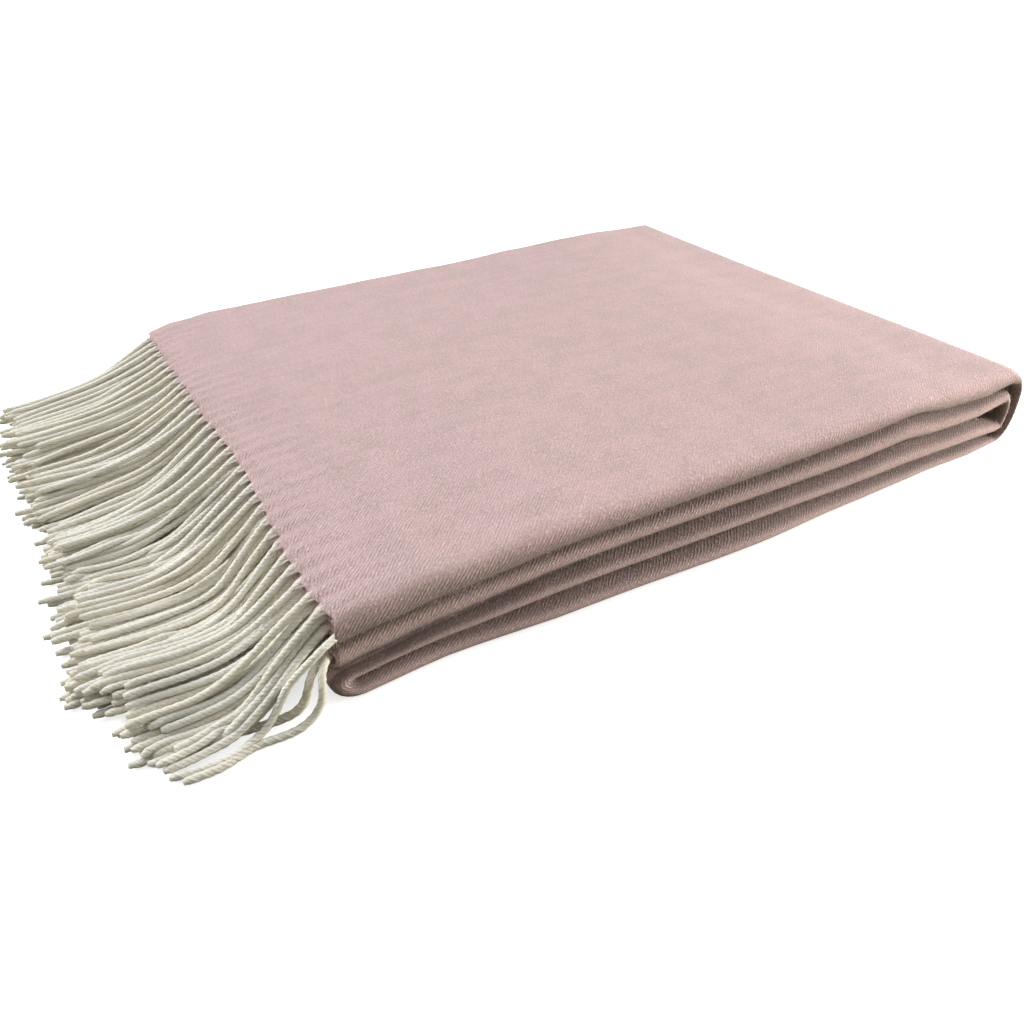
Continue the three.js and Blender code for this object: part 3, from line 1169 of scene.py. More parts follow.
        fold_x, nose_x = s.fold_x, s.nose_reach
        ends, nose = heights(fold_x), heights(nose_x)
        top = ends[Leg.TOP][1]
        middle = top / 2.0
        wrap, reach = s.last_wrap, s.last_reach
        outside = (
            (reach - wrap, ends[Leg.TOP][0] - middle, middle - ends[Leg.FLOOR][1]),
            (reach, top - middle, middle - ends[Leg.FLOOR][0]),
        )
        inside = (
            (reach - wrap - s.leg_gap, ends[Leg.SECOND][1] - middle, middle - ends[Leg.THIRD][0]),
            (reach - 2 * wrap - s.leg_gap, ends[Leg.SECOND][0] - middle, middle - ends[Leg.THIRD][1]),
        )
        nose_middle = nose[Leg.FLOOR][1] + s.leg_gap / 2.0
        nose_faces = (
            (s.nose_inner, nose[Leg.THIRD][0] - nose_middle, nose_middle - nose[Leg.FLOOR][1]),
            (s.nose_reach, nose[Leg.THIRD][1] - nose_middle, nose_middle - nose[Leg.FLOOR][0]),
        )
        top_x = mix(s.top_end, fold_x, np.linspace(0.0, 1.0, self.top_stations) ** self.top_crowding)
        evenly = np.linspace(fold_x, nose_x, self.leg_stations)
        crowded = (1.0 - np.linspace(0.0, 1.0, self.leg_stations)) ** self.second_crowding
        second = mix(fold_x, s.second_end, 1.0 - crowded)
        up, down, back = (-QUARTER, QUARTER), (QUARTER, -QUARTER), (-QUARTER, -3 * QUARTER)
        last, small = s.last_roundness, self.nose_steps
        run(Leg.TOP, top_x, True)
        fold(fold_x, middle, down, (Leg.TOP, Leg.FLOOR), outside, last, self.last_steps, self.nap.last_fold)
        run(Leg.FLOOR, evenly, False)
        fold(nose_x, nose_middle, back, (Leg.FLOOR, Leg.THIRD), nose_faces, s.nose_roundness, small)
        run(Leg.THIRD, evenly[::-1], True)
        fold(fold_x, middle, up, (Leg.THIRD, Leg.SECOND), inside, last, small)
        run(Leg.SECOND, second, False)
        table = np.array(rows)
        inner, outer = table[:, 0:2], table[:, 2:4]
        steps = np.linalg.norm(np.diff((inner + outer) / 2.0, axis=0), axis=1)
        pinch = np.ones(len(table))
        pinch[0] = pinch[-1] = self.pinch
        return {
            "inner": inner, "outer": outer, "front": table[:, 4], "top": table[:, 5], "nap": table[:, 6],
            "walked": np.concatenate([[0.0], np.cumsum(steps)]), "pinch": pinch,
        }

    def relief(self, points: Array) -> Array:
        """Gives how far each point of the cloth stands out: swells, and ribs at the fringe.

        Args:
            points: The points before, as [station, point, 3].

        Returns:
            Heights above the plain cloth, as [station, point].
        """
        section, stations = self.section, self.stations
        u = stations["walked"][:, None] + 0.0 * section["flat"][None, :]
        v = section["flat"][None, :] + 0.0 * u
        outside = (section["side"] > 0)[None, :].astype(float)
        top = stations["top"][:, None] * (section["part"] == Part.UPPER_RUN.value)[None, :] * outside
        swell = sum(share * rolling.at(u, v) for share, rolling in self.swells)
        weight = np.where(top > 0, 1.0, self.lower_swell) * outside
        near = fading(points[..., 0] - self.stack.top_end, self.rib.fade)
        own = self.rib.even + self.rib.uneven * self.rib_swell.at(u, v)
        ribs = 0.5 * self.rib.height * near * own * self.comb(points[..., 1]) * top
        return self.swell * swell * weight + ribs

    def root_y(self, k: float) -> float:
        """Gives where strand k leaves the cloth, across the throw."""
        margin = (self.stack.width - self.rib.count * self.rib.pitch) / 2.0
        return margin + (k + 0.5) * self.rib.pitch

    def comb(self, y: Array) -> Array:
        """Gives a wave across the throw that is 1 at each strand and -1 between two."""
        return np.cos(TURN * (y - self.root_y(0)) / self.rib.pitch)

    def blunted(self, y: Array, x: Array) -> Array:
        """Makes the front bends rounder near the fringe, where they are less drawn out.

        Args:
            y: Places across the section.
            x: Places of the stations along the throw.

        Returns:
            The places after it.
        """
        bend, width = self.front_bend, self.stack.width
        share = mix(self.blunt, 1.0, smooth(x / self.blunt_reach))
        rest = bend * share + (y - bend) * (width - bend * share) / (width - bend)
        return np.where(y < bend, y * share, rest)

    def surface(self) -> Array:
        """Places every point of the closed sheet.

        Returns:
            Points in millimetres, as [station, point, 3].
        """
        section, stations = self.section, self.stations
        n = section["n"][None, :] + section["nn"][None, :] * stations["pinch"][:, None]
        y = self.blunted(section["y"][None, :] + 0.0 * n, stations["outer"][:, :1])
        inner, outer = stations["inner"][:, None, :], stations["outer"][:, None, :]
        points = self.stack.place(inner, outer, stations["front"][:, None], y, n)
        round_cut = np.roll(points, -1, axis=1) - np.roll(points, 1, axis=1)
        normal = np.cross(round_cut, np.gradient(points, axis=0))
        normal /= np.linalg.norm(normal, axis=-1, keepdims=True) + TINY
        on_top = len(points) // 10, int(section["outer"]) // 4
        normal *= 1.0 if normal[(*on_top, 2)] > 0 else -1.0
        points = points + normal * self.relief(points)[..., None]
        near = fading(points[..., 0] - self.stack.second_end, self.rib.scallop_fade)
        ends = np.zeros(len(stations["walked"]))
        ends[: self.top_stations] = 1.0
        ends[-self.leg_stations:] = 1.0
        points[..., 0] += self.rib.scallop * (1.0 - self.comb(points[..., 1])) * near * ends[:, None]
        points[..., 2] = np.maximum(points[..., 2], 0.0)
        return points

    def naps(self, points: Array) -> Array:
        """Gives how thickly hairs stand at each point of the cloth.

        Args:
            points: The sheet's points.

        Returns:
            Values as [station, point], 1 on the open top.
        """
        nap, stations = self.nap, self.stations
        part, outside = self.section["part"][None, :], (self.section["side"] > 0)[None, :]
        bends = nap.noses * (part == Part.FRONT_BEND.value) + nap.back * (part == Part.BACK_BEND.value)
        hem = nap.hem * fading(points[..., 0], nap.hem_reach) * stations["top"][:, None]
        shown = (stations["nap"][:, None] + hem) * (part == Part.UPPER_RUN.value)
        return np.maximum(shown, bends) * outside * (points[..., 2] > nap.off_floor)

    def painted_shade_depths(self) -> Array:
        """Gives how deep a painted shade lies on each point of the front edge, for the cloth's colour.

        Returns:
            Values from 0 to 1 as [station, point].
        """
        painted_shade, section, stations = self.painted_shade, self.section, self.stations
        bare = stations["nap"][:, None] > 0
        n = section["n"][None, :] + 0.0 * bare
        bend = (section["part"] == Part.FRONT_BEND.value) & (section["side"] > 0)
        depth = np.where(stations["top"][:, None] > 0, 1.0, painted_shade.lower)
        between = depth * smooth((np.abs(n) - painted_shade.start) / painted_shade.reach) * ~(bare & (n > 0))
        turned = painted_shade.open_depth * smooth((painted_shade.open_start - n) / painted_shade.open_reach) * bare
        return np.maximum(between, turned) * bend[None, :]

    def build(self, material: bpy.types.Material) -> bpy.types.Object:
        """Builds the piece.

        Args:
            material: The cloth's finish.

        Returns:
            The cloth as a piece.
        """
        points, section = self.surface(), self.section
        count, size = points.shape[:2]
        grid = np.arange(count * size).reshape(count, size)
        a, b = grid[:-1], np.roll(grid[:-1], -1, axis=1)
        c, d = np.roll(grid[1:], -1, axis=1), grid[1:]
        faces: list[list[int]] = np.stack([a, b, c, d], axis=-1).reshape(-1, 4).tolist()
        faces += self._cap(0, True) + self._cap((count - 1) * size, False)
        mesh = mesh_of("folded_cloth", self.frame.metres(points), faces)
        u, v = np.broadcast_arrays(self.stations["walked"][:, None], section["flat"][None, :])
        corners = np.empty(len(mesh.loops), dtype=np.int64)
        mesh.loops.foreach_get("vertex_index", corners)
        layer = mesh.uv_layers.new(name="cloth")
        flat = np.stack([u, v], axis=-1).reshape(-1, 2) * MM
        layer.data.foreach_set("uv", flat[corners].ravel())
        store(mesh, "nap", self.naps(points))
        # Painted shade for the cloth's colour where the front edge turns in between two legs.
        store(mesh, "painted_shade", self.painted_shade_depths())
        mesh.materials.append(material)
        outward(mesh)
        mesh.shade_smooth()
        return object_of("folded_cloth", mesh)

    def _cap(self, first: int, flip: bool) -> list[list[int]]:
        """Closes one fringed end between the two faces of the cut.

        Args:
            first: The first point of the end's cut.
            flip: Whether its faces are turned over.

        Returns:
            The faces.
        """
        outer, inner = int(self.section["outer"]), int(self.section["inner"])
        many, few, size = self.top_steps, self.few_steps, len(self.section["y"])
        left, right = list(range(outer)), [size - 2 - i for i in range(inner)]
        step = many // few
        faces = [left[k * step: (k + 1) * step + 1] + [right[k + 1], right[k]] for k in range(few)]
        for k in range(outer - 1 - many):
            i, j = many + k, few + k
            faces.append([left[i], left[i + 1], right[j + 1], right[j]])
        faces += [[left[-1], outer, right[-1]], [right[0], size - 1, left[0]]]
        made = [[first + i for i in f] for f in faces]
        return [f[::-1] for f in made] if flip else made


def walk(line: Array) -> Array:
    """Gives how far each point of a line lies from its start, along it."""
    return np.concatenate([[0.0], np.cumsum(np.linalg.norm(np.diff(line, axis=0), axis=1))])


def along(line: Array, walked: Array, at: Array | float) -> Array:
    """Reads a line's places at distances along it."""
    return np.stack([np.interp(at, walked, line[:, i]) for i in range(3)], axis=-1)


ROWS = 8
ROOT_HEIGHT = 37.0
# How the upper strands fall. Each row: where they leave the cloth across the throw, then their heights at
# each distance of HEIGHT_AT from the edge, then how far they have moved to the back at each of SHIFT_AT.
HEIGHT_AT = (12.5, 25.0, 38.0, 51.0, 65.0, 80.0)
SHIFT_AT = (12.0, 25.0, 51.0, 80.0)
FALLS = (
    (1, 31.5, 20.5, 6, 3, 4, 5, -0.8, -2, -5, -6), (7, 31.5, 21, 9.5, 5, 5, 6, -0.5, -1.5, -4, -5),
    (13, 29.5, 18.5, 8, 6, 6, 6, -1, -2.6, -4, -5), (18, 29.8, 18.5, 11, 9, 9, 9, -0.7, -1.8, -3.6, -4),
    (24, 31.5, 22, 15, 13, 13, 13, -0.9, -0.6, -0.5, 0.5), (30, 31.8, 24, 18.6, 17, 17, 16, -0.7, 1, 4, 7),
    (36, 31, 23, 19, 18.5, 19, 16, -1, 0, 3, 7), (43, 28.6, 20, 17.5, 17.5, 18, 16, -0.5, -2.2, -1, 4),
    (50, 27.6, 16.5, 13.8, 14.5, 15.5, 13, -0.9, -2.6, -2, 2),
    (56, 28.6, 17, 12.5, 12.2, 13, 13.5, -1, -3, -3.8, -2),
    (66, 28, 16, 12.6, 12.2, 13, 14.5, -0.6, -3.4, -3.4, -2),
    (77, 27, 15.2, 12.5, 12.3, 12.5, 13, -0.9, -4, -4.2, -3.5),
    (86, 26, 14, 11, 11, 11.5, 12.5, -1.3, -4.4, -4.8, -3.8),
    (93, 30.3, 21, 13.8, 11.5, 12, 13.5, -0.4, 0.2, 0.8, 2.4),
    (101, 29.6, 19.6, 12, 9.5, 9.8, 10.6, -0.1, 0, -0.3, 0.6),
    (109, 30.7, 20.4, 11.6, 8.3, 9.3, 9.6, -0.3, -0.5, -1, -0.2),
    (118, 30.2, 20.6, 10.6, 6.8, 8.2, 8, -0.5, -0.1, -1.1, -2),
    (128, 30.4, 22, 14.5, 9.5, 9.5, 10, -0.5, 0.5, 1.6, 2.4),
    (137, 32, 25, 18.5, 13, 11, 9.4, -0.5, 0.8, 3.6, 3),
    (146, 30.8, 22.8, 18.5, 15, 13.3, 13, -0.5, 0.1, 1.8, 2.1),
    (156, 30.2, 21.8, 16.6, 12.4, 9.7, 9.2, -0.7, -0.3, 0.7, 0.2),
    (166, 30.4, 21.2, 13.8, 9.8, 7.5, 5.6, -0.4, -0.1, 0.4, -1.2),
    (177, 31, 22.6, 16, 15, 12, 7.5, -0.4, 0.3, 1.4, 2.4),
    (187, 31, 24.5, 20.6, 17, 13.4, 11, -0.5, -0.1, 2.6, 3.6),
    (198, 30.8, 23.4, 18, 15.6, 16, 16, -0.5, 0.5, 1.7, 3),
    (209, 30.4, 21.8, 16.6, 13.8, 13.8, 13.8, -0.7, -0.3, 0.6, 0.9),
    (221, 30.8, 25, 19.2, 14.4, 13.3, 12, -0.5, -0.6, 2.1, 2),
    (234, 30.6, 25, 22.2, 20.2, 17.6, 13, -0.7, -0.6, 2, 4.4),
    (247, 31.5, 26.4, 22.5, 20, 18, 16, -0.7, 0.3, 2.3, 4.6),
    (260, 31.2, 24.8, 20, 18.2, 16.5, 15, -0.4, 0.6, 2.2, 4),
    (273, 31.3, 24.4, 18.6, 16.5, 14.8, 13.4, -0.6, 0.5, 1.4, 2),
    (288, 31, 25, 21, 18, 15.8, 12.5, -0.9, 0.2, 1.9, 3.4),
    (302, 31.2, 23.2, 18.2, 14.8, 13.2, 11.2, -0.7, 0, 1.8, 1.4), (322, 30, 21, 15, 12, 10, 9, -0.7, 0, 1.4, 1),
)

# Paths of the strands that stand out from the others at the front corner, and their rows.
LOOSE = (
    ((8, 7, 31), (3, 3.6, 31.6), (-3, 0.9, 31.2), (-7, 0.4, 28.4), (-12, 1.6, 24), (-17.8, 3.2, 17),
     (-22, 2.5, 10), (-26.6, 0.9, 5), (-32, -0.2, 3), (-40, -3.3, 2), (-52, -2.8, 2), (-63, -1.1, 2),
     (-88, 2, 2)),
    ((8, 17, 16), (3, 13, 17.5), (-1, 7.4, 19.6), (-4.4, 2.6, 19.6), (-5.6, -0.2, 15.6), (-6.4, -1.5, 10),
     (-10.6, -2.5, 5), (-16.7, -3.3, 2.5), (-23.9, -2.8, 2), (-32.4, -1.6, 1.7), (-45, -5.5, 1.7),
     (-60, -5, 1.7), (-85, -3, 1.7)),
    ((8, 19, 16), (3, 15, 17), (-4, 8, 19), (-8.8, 3.4, 17.6), (-10, 3.3, 13), (-11.5, 3.1, 8),
     (-15, 2.9, 5), (-17.8, 4, 3.5), (-23.2, 4.9, 2.5), (-30, 6.3, 2), (-50, 9, 2), (-70, 10, 2),
     (-90, 11, 2)),
)
LOOSE_ROWS = (0, 4, 4)


@dataclass(frozen=True)
class Stray:
    """How the strands stray from the falls in FALLS. Pairs of reach tell how it grows.

    Attributes:
        root: How far the roots of the first row and of the others are off their places.
        stretch: Range of the pace at which the strands follow their falls.
        lie_down: How far from the edge the rows lie evenly on each other.
        rise: How far they rise or sink, and its reach.
        apart: How far they drift sideways, and how much further in the last row.
        lock: How far they drift together, and how much further in the last row.
        lock_waves: Period, phase for each row and share of the two waves of that drift.
        drift_reach: How far out the drift is full.
        sway: Range of each strand's own sway, its wave and its reach.
        splay: How far the strands near the front spread, more for each row, and its reach.
        follow: How far the lower rows follow the upper ones sideways.
    """

    root: Pair = (0.3, 0.8)
    stretch: Pair = (0.94, 1.08)
    lie_down: float = 26.0
    rise: Pair = (0.7, 30.0)
    apart: Pair = (1.1, 1.0)
    lock: Pair = (0.5, 1.7)
    lock_waves: tuple[Point, Point] = ((47.0, 1.3, 1.0), (21.0, 0.7, 0.6))
    drift_reach: float = 75.0
    sway: tuple[float, float, float, float] = (0.2, 1.0, 13.0, 35.0)
    splay: Point = (3.0, 1.5, 34.0)
    follow: float = 0.45


@dataclass(frozen=True)
class Gather:
    """How thin yarns gather from the hem into each strand.

    Attributes:
        sides: Where they start, to both sides of the strand, and how unevenly.
        reach: Range of how far down the strand they join it.
        start: Their start from the root: along, along for each squared side, and up.
        edge: Their bend at the edge: along, the share of the side, and up.
        end: Where they join the strand: to its side, and up.
    """

    sides: tuple[float, ...] = (-3.5, -1.9, 1.9, 3.5)
    uneven: float = 0.35
    reach: Pair = (5.5, 8.0)
    start: Point = (0.6, 0.12, 0.35)
    edge: Point = (-0.6, 0.75, -0.1)
    end: Pair = (0.9, 0.5)
    points: int = 9


@dataclass
class FringeBed:
    """All strands of the fringe, laid on the floor and on each other.

    Attributes:
        extra: How many more strands the lower rows have near the front.
        margins: How far the roots keep from the front edge, more for each row, and from the back.
        spread: How unevenly long the strands are.
        open_side: How far the splay at the front edge reaches.
        front_length: Length of the strands near the front, as a share of the others.
        front_ends: Where they begin to be shorter, and over which distance.
        held_length: Length of the strands in LOOSE.
        sunk: How deep the strands start inside the cloth.
        reach: How far their lines are drawn, and in how many fine points.
        soften: Fine points of a line, and how often its corners are rounded.
        closeness: Distance at which two strands part, as a share of their thickness.
        afloat: Height of the lowest middle of a strand, as a share of its radius.
        stiff: How strongly a strand straightens in each round.
        push: How strongly two strands part in each round.
        own: Points of one strand that don't push each other.
        nearby: How many points further along the sorted list are still tried.
        hold: How strongly a strand keeps to its drawn line in each round.
        weight: How far it sinks in each round.
        layers: Places of the four layers through a leg, from -0.5 to 0.5.
        offsets: Shift of the roots of the four layers across the throw.
    """

    stack: Stack
    cloth: ThrowCloth
    stray: Stray = field(default_factory=Stray)
    gather: Gather = field(default_factory=Gather)
    extra: int = 5
    margins: Point = (6.0, 1.5, 3.0)
    length: float = 90.0
    spread: float = 3.6
    open_side: float = 46.0
    front_length: float = 0.82
    front_ends: Pair = (56.0, 30.0)
    held_length: float = 84.0
    radius: float = 1.5
    points: int = 36
    sunk: float = 2.2
    reach: tuple[float, int] = (104.0, 260)
    soften: tuple[int, int] = (400, 160)
    seed: int = 5
    rounds: int = 60
    closeness: float = 0.95
    afloat: float = 1.15
    stiff: float = 0.2
    push: float = 0.9
    own: int = 3
    nearby: int = 400
    hold: float = 0.03
    weight: float = 0.04
    layers: tuple[float, ...] = (0.393, 0.131, -0.131, -0.393)
    offsets: tuple[float, ...] = (0.0, -0.1, -2.6, 2.3)

    def lay(self) -> tuple[Array, Array]:
        """Lays every strand.

        Returns:
            Points as [strand, point, 3], and each strand's row from 0, the top leg's upper layer,
            to 7, the second leg's lowest.
        """
        rng = np.random.default_rng(self.seed)
        lines, rows = [], []
        ends = self.cloth.stations
        for row in range(ROWS):
            upper = row < ROWS // 2
            inner, outer, front = (ends[key][0 if upper else -1] for key in ("inner", "outer", "front"))
            layer, offset = self.layers[row % 4] * (1.0 if upper else -1.0), self.offsets[row % 4]
            doubled = [k + 0.5 for k in range(self.extra)] if row > 1 else []
            for k in [*range(self.cloth.rib.count), *doubled]:
                y = self.cloth.root_y(k) + offset + rng.normal(0.0, self.stray.root[row > 0])
                low, high = self.margins[0] + self.margins[1] * row, self.stack.width - self.margins[2]
                y = float(np.clip(y, low, high))
                root = self.stack.place(inner, outer, front, np.array(y), np.array(layer))
                lines.append(self._line(root, row, rng))
                rows.append(row)
        for path, row in zip(LOOSE, LOOSE_ROWS):
            lines.append(self._even(self._soft(np.array(path, dtype=float)), self.held_length))
            rows.append(row)
        free = len(lines) - len(LOOSE)
        return self._settled(np.array(lines), free), np.array(rows)

    def _soft(self, path: Array) -> Array:
        """Rounds the corners of a path.

        Args:
            path: Points of the path.

        Returns:
            Many more points, on a soft line.
        """
        fine, rounds = self.soften
        walked = walk(path)
        line = along(path, walked, np.linspace(0.0, walked[-1], fine))
        for _ in range(rounds):
            line[1:-1] = 0.5 * line[1:-1] + 0.25 * (line[:-2] + line[2:])
        return line

    def _even(self, line: Array, length: float) -> Array:
        """Sets a strand's points evenly along a line, up to its length."""
        walked = walk(line)
        return along(line, walked, np.linspace(0.0, min(length, walked[-1]), self.points))

    def _line(self, root: Array, row: int, rng: np.random.Generator) -> Array:
        """Draws one strand from its root, before it settles.

        Args:
            root: Where it leaves the cloth.
            row: Its row.
            rng: The draws for how it strays.

        Returns:
            Its points.
        """
        stray, radius = self.stray, self.radius
        fall = [np.interp(root[1], [f[0] for f in FALLS], column) for column in list(zip(*FALLS))[1:]]
        heights, shifts = fall[:len(HEIGHT_AT)], fall[len(HEIGHT_AT):]
        far = np.linspace(-self.sunk, *self.reach)
        out = np.clip(far, 0.0, None) * rng.uniform(*stray.stretch)
        upper = np.interp(out, (0.0, *HEIGHT_AT), (ROOT_HEIGHT, *heights))
        at_root = (root[2] - radius) / (ROOT_HEIGHT - radius)
        share = mix(at_root, 1.0 - row / ROWS, smooth(out / stray.lie_down))
        z = radius + (upper - radius) * share
        z += rng.normal(0.0, stray.rise[0]) * smooth(out / stray.rise[1])
        low = row / (ROWS - 1)
        lock = (stray.lock[0] + stray.lock[1] * low) * sum(
            part * math.sin(TURN * root[1] / period + phase * row) for period, phase, part in stray.lock_waves
        )
        away = (lock + rng.normal(0.0, stray.apart[0] + stray.apart[1] * low)) * smooth(out / stray.drift_reach)
        least, most, wave, grown_at = stray.sway
        phase, size = rng.uniform(0.0, TURN), rng.uniform(least, most)
        sway = size * (np.sin(phase + out / wave) - math.sin(phase)) * smooth(out / grown_at)
        near = smooth((self.open_side - root[1]) / self.open_side)
        splay = (stray.splay[0] + stray.splay[1] * row) * near * smooth(out / stray.splay[2]) * (row > 0)
        follow = 1.0 if row == 0 else mix(stray.follow, 1.0, near)
        y = root[1] + np.interp(out, (0.0, *SHIFT_AT), (0.0, *shifts)) * follow - splay + away + sway
        line = self._soft(np.stack([root[0] - far, y, z], axis=-1))
        shorter = smooth((self.front_ends[0] - root[1]) / self.front_ends[1])
        length = self.length * mix(1.0, self.front_length, shorter)
        return self._even(line, length + rng.normal(0.0, self.spread))

    def _settled(self, lines: Array, free: int) -> Array:
        """Lets the strands come to rest: they part where they meet, and sink a little.

        Args:
            lines: The strands as they are drawn.
            free: How many of them may move; the rest hold their place.

        Returns:
            The strands at rest.
        """
        start, size = lines.copy(), self.points
        seg = np.linalg.norm(np.diff(lines, axis=1), axis=2)
        floor = self.radius * self.afloat
        for _ in range(self.rounds):
            lines += self.hold * (start - lines)
            lines[:, 4:, 2] -= self.weight
            lines[:, 2:-1] += self.stiff * ((lines[:, 1:-2] + lines[:, 3:]) / 2.0 - lines[:, 2:-1])
            lines = self._parted(lines)
            lines[:, :2] = start[:, :2]
            lines[free:] = start[free:]
            lines[..., 2] = np.maximum(lines[..., 2], floor)
            lines[:, 2:, 0] = np.minimum(lines[:, 2:, 0], start[:, 1:2, 0])
            for j in range(2, size):
                d = lines[:free, j] - lines[:free, j - 1]
                d /= np.linalg.norm(d, axis=1, keepdims=True) + TINY
                lines[:free, j] = lines[:free, j - 1] + d * seg[:free, j - 1: j]
        lines[..., 2] = np.maximum(lines[..., 2], floor)
        return lines

    def _parted(self, lines: Array) -> Array:
        """Pushes the points of strands that meet apart, once.

        Args:
            lines: The strands.

        Returns:
            The strands after the push.
        """
        count, size = lines.shape[:2]
        apart = 2.0 * self.radius * self.closeness
        flat = lines.reshape(-1, 3)
        order = np.argsort(flat[:, 1], kind="stable")
        p, who, at = flat[order], order // size, order % size
        push, hits = np.zeros_like(p), np.zeros(len(p))
        for step in range(1, self.nearby):
            if not (p[step:, 1] - p[:-step, 1] < apart).any():
                break
            d = p[step:] - p[:-step]
            far = np.linalg.norm(d, axis=1)
            other = (who[step:] != who[:-step]) | (np.abs(at[step:] - at[:-step]) > self.own)
            i = np.nonzero((far < apart) & other)[0]
            away = d[i] / (far[i, None] + 1e-6) * (apart - far[i, None]) * 0.5
            push[i] -= away
            push[i + step] += away
            hits[i] += 1
            hits[i + step] += 1
        p += push / np.maximum(hits, 1.0)[:, None] * self.push
        flat[order] = p
        return flat.reshape(count, size, 3)

    def gathered(self, lines: Array, rows: Array) -> Array:
        """Draws the thin yarns that gather from the hem into each strand.

        Args:
            lines: The strands at rest.
            rows: Each strand's row.

        Returns:
            Points as [yarn, point, 3].
        """
        rng = np.random.default_rng(self.seed + 1)
        g, made = self.gather, []
        t = np.linspace(0.0, 1.0, g.points)[:, None]
        for line in lines[: -len(LOOSE)][np.isin(rows[: -len(LOOSE)], (0, ROWS // 2))]:
            for side in g.sides:
                y = side + rng.normal(0.0, g.uneven)
                reach = rng.uniform(*g.reach)
                start = line[0] + np.array([g.start[0] + g.start[1] * y * y, y, g.start[2]])
                edge = line[0] + np.array([g.edge[0] - self.sunk, g.edge[1] * y, g.edge[2]])
                end = along(line, walk(line), reach) + np.array([0.0, math.copysign(g.end[0], y), g.end[1]])
                made.append((1 - t) ** 2 * start + 2 * t * (1 - t) * edge + t * t * end)
        return np.array(made)


@dataclass
class Rope:
    """Turns strand lines into twisted yarn with a geometry tree.

    Attributes:
        plies: Yarns in one strand.
        depth: Depth of the grooves between them, as a share of the radius.
        turn: Length in which they twist once round.
        ring: Distance between two cuts along a strand.
        sides: Corners of a cut.
        off_floor: Height up to which no hairs stand.
        tip: Length of the frayed tip.
        frayed: How much thicker the hairs stand there.
        root_girth: Thickness at the root as a share, and how far on it is 1.
        tip_girth: Thickness at the tip as a share, and how far before it is 1.
        uneven: How thickness differs from strand to strand, and along each one.
        lumps: Length of the lumps along a strand, and how far apart the strands read them.
        tones: Range of the strands' warmth.
    """

    frame: Frame
    radius: float = 1.5
    plies: int = 2
    depth: float = 0.055
    turn: float = 7.6
    ring: float = 0.7
    sides: int = 9
    off_floor: float = 7.0
    tip: float = 3.0
    frayed: float = 5.0
    root_girth: Pair = (1.12, 7.0)
    tip_girth: Pair = (0.7, 1.8)
    uneven: Pair = (0.05, 0.06)
    lumps: Pair = (11.0, 37.0)
    tones: Pair = (0.0, 0.8)

    def tree(self, material: bpy.types.Material) -> bpy.types.NodeTree:
        """Builds the tree that sweeps a lobed cut along each line and twists it.

        Args:
            material: The strands' finish.

        Returns:
            The tree.
        """
        tree, n, into, out = geometry("Twisted strands", [
            ("Strand radius", FLOAT, self.radius * MM), ("Ply depth", FLOAT, self.depth),
            ("Plies", FLOAT, float(self.plies)), ("Turn length", FLOAT, self.turn * MM),
            ("Ring spacing", FLOAT, self.ring * MM),
        ])
        line = n.add("GeometryNodeMeshToCurve", {0: into["Geometry"]}).outputs[0]
        spacing: Feeds = {"Curve": line, "Length": into["Ring spacing"]}
        even = n.add("GeometryNodeResampleCurve", spacing, mode="LENGTH").outputs[0]
        turns = n.math("DIVIDE", named(n, "along"), into["Turn length"])
        twist: Feeds = {"Curve": even, "Tilt": n.times(turns, TURN, named(n, "phase"))}
        twisted = n.add("GeometryNodeSetCurveTilt", twist).outputs[0]
        angle = n.times(n.add("GeometryNodeSplineParameter").outputs["Factor"], TURN)
        ridge = n.math("COSINE", n.times(angle, into["Plies"]))
        lobe = n.add("ShaderNodeVectorMath", {
            0: n.add("GeometryNodeInputPosition").outputs[0], "Scale": n.times(ridge, into["Ply depth"], 1.0),
        }, operation="SCALE").outputs[0]
        lobed = n.add("GeometryNodeSetPosition", {"Geometry": ring(n, self.sides), "Position": lobe})
        around = n.joined(n.math("COSINE", angle), n.math("SINE", angle))
        cut = n.add("GeometryNodeStoreNamedAttribute", {
            "Geometry": lobed.outputs[0], "Name": "around", "Value": around,
        }, data_type="FLOAT_VECTOR", domain="POINT").outputs[0]
        scale = n.times(named(n, "thick"), into["Strand radius"])
        finish(n, swept(n, twisted, cut, scale), material, out)
        return tree

    def build(
        self, name: str, tree: bpy.types.NodeTree, lines: Array, seed: int, girth: float = 1.0,
        lead: float = 0.0,
    ) -> bpy.types.Object:
        """Builds one piece of the fringe.

        Args:
            name: The piece's name.
            tree: The tree that twists the strands.
            lines: Strand lines in millimetres, as [strand, point, 3].
            seed: Number that fixes the strands' turns and tones.
            girth: Their thickness, as a share of a strand's.
            lead: Length by which the root's pink end is cut off.

        Returns:
            The piece, as a plain mesh.
        """
        rng = np.random.default_rng(seed)
        count, size = lines.shape[:2]
        index = np.arange(count * size).reshape(count, size)
        edges = np.stack([index[:, :-1].ravel(), index[:, 1:].ravel()], axis=-1).tolist()
        mesh = mesh_of(f"{name}_lines", self.frame.metres(lines), [], edges)
        walked = np.array([walk(line) for line in lines])
        left = walked[:, -1:] - walked
        lumps = Rolling(self.lumps[0], seed).at(walked, np.arange(count)[:, None] * self.lumps[1])
        thick = girth * np.prod([
            mix(share, 1.0, smooth(far / reach))
            for far, (share, reach) in ((walked, self.root_girth), (left, self.tip_girth))
        ], axis=0)
        thick = thick * (1.0 + self.uneven[0] * rng.normal(size=(count, 1)) + self.uneven[1] * lumps)
        store(mesh, "along", (walked + lead) * MM)
        store(mesh, "left", left * MM)
        store(mesh, "thick", thick)
        for key, ends in (("phase", (0.0, TURN)), ("tone", self.tones)):
            store(mesh, key, np.repeat(rng.uniform(*ends, (count, 1)), size, axis=1))
        made = grown(name, mesh, tree, {})
        heights = read(made.vertices, "co", 3)[2::3]
        left = read(made.attributes["left"].data, "value", 1)
        store(made, "nap", (heights > self.off_floor * MM) * (1.0 + self.frayed * (left < self.tip * MM)))
        return object_of(name, made)


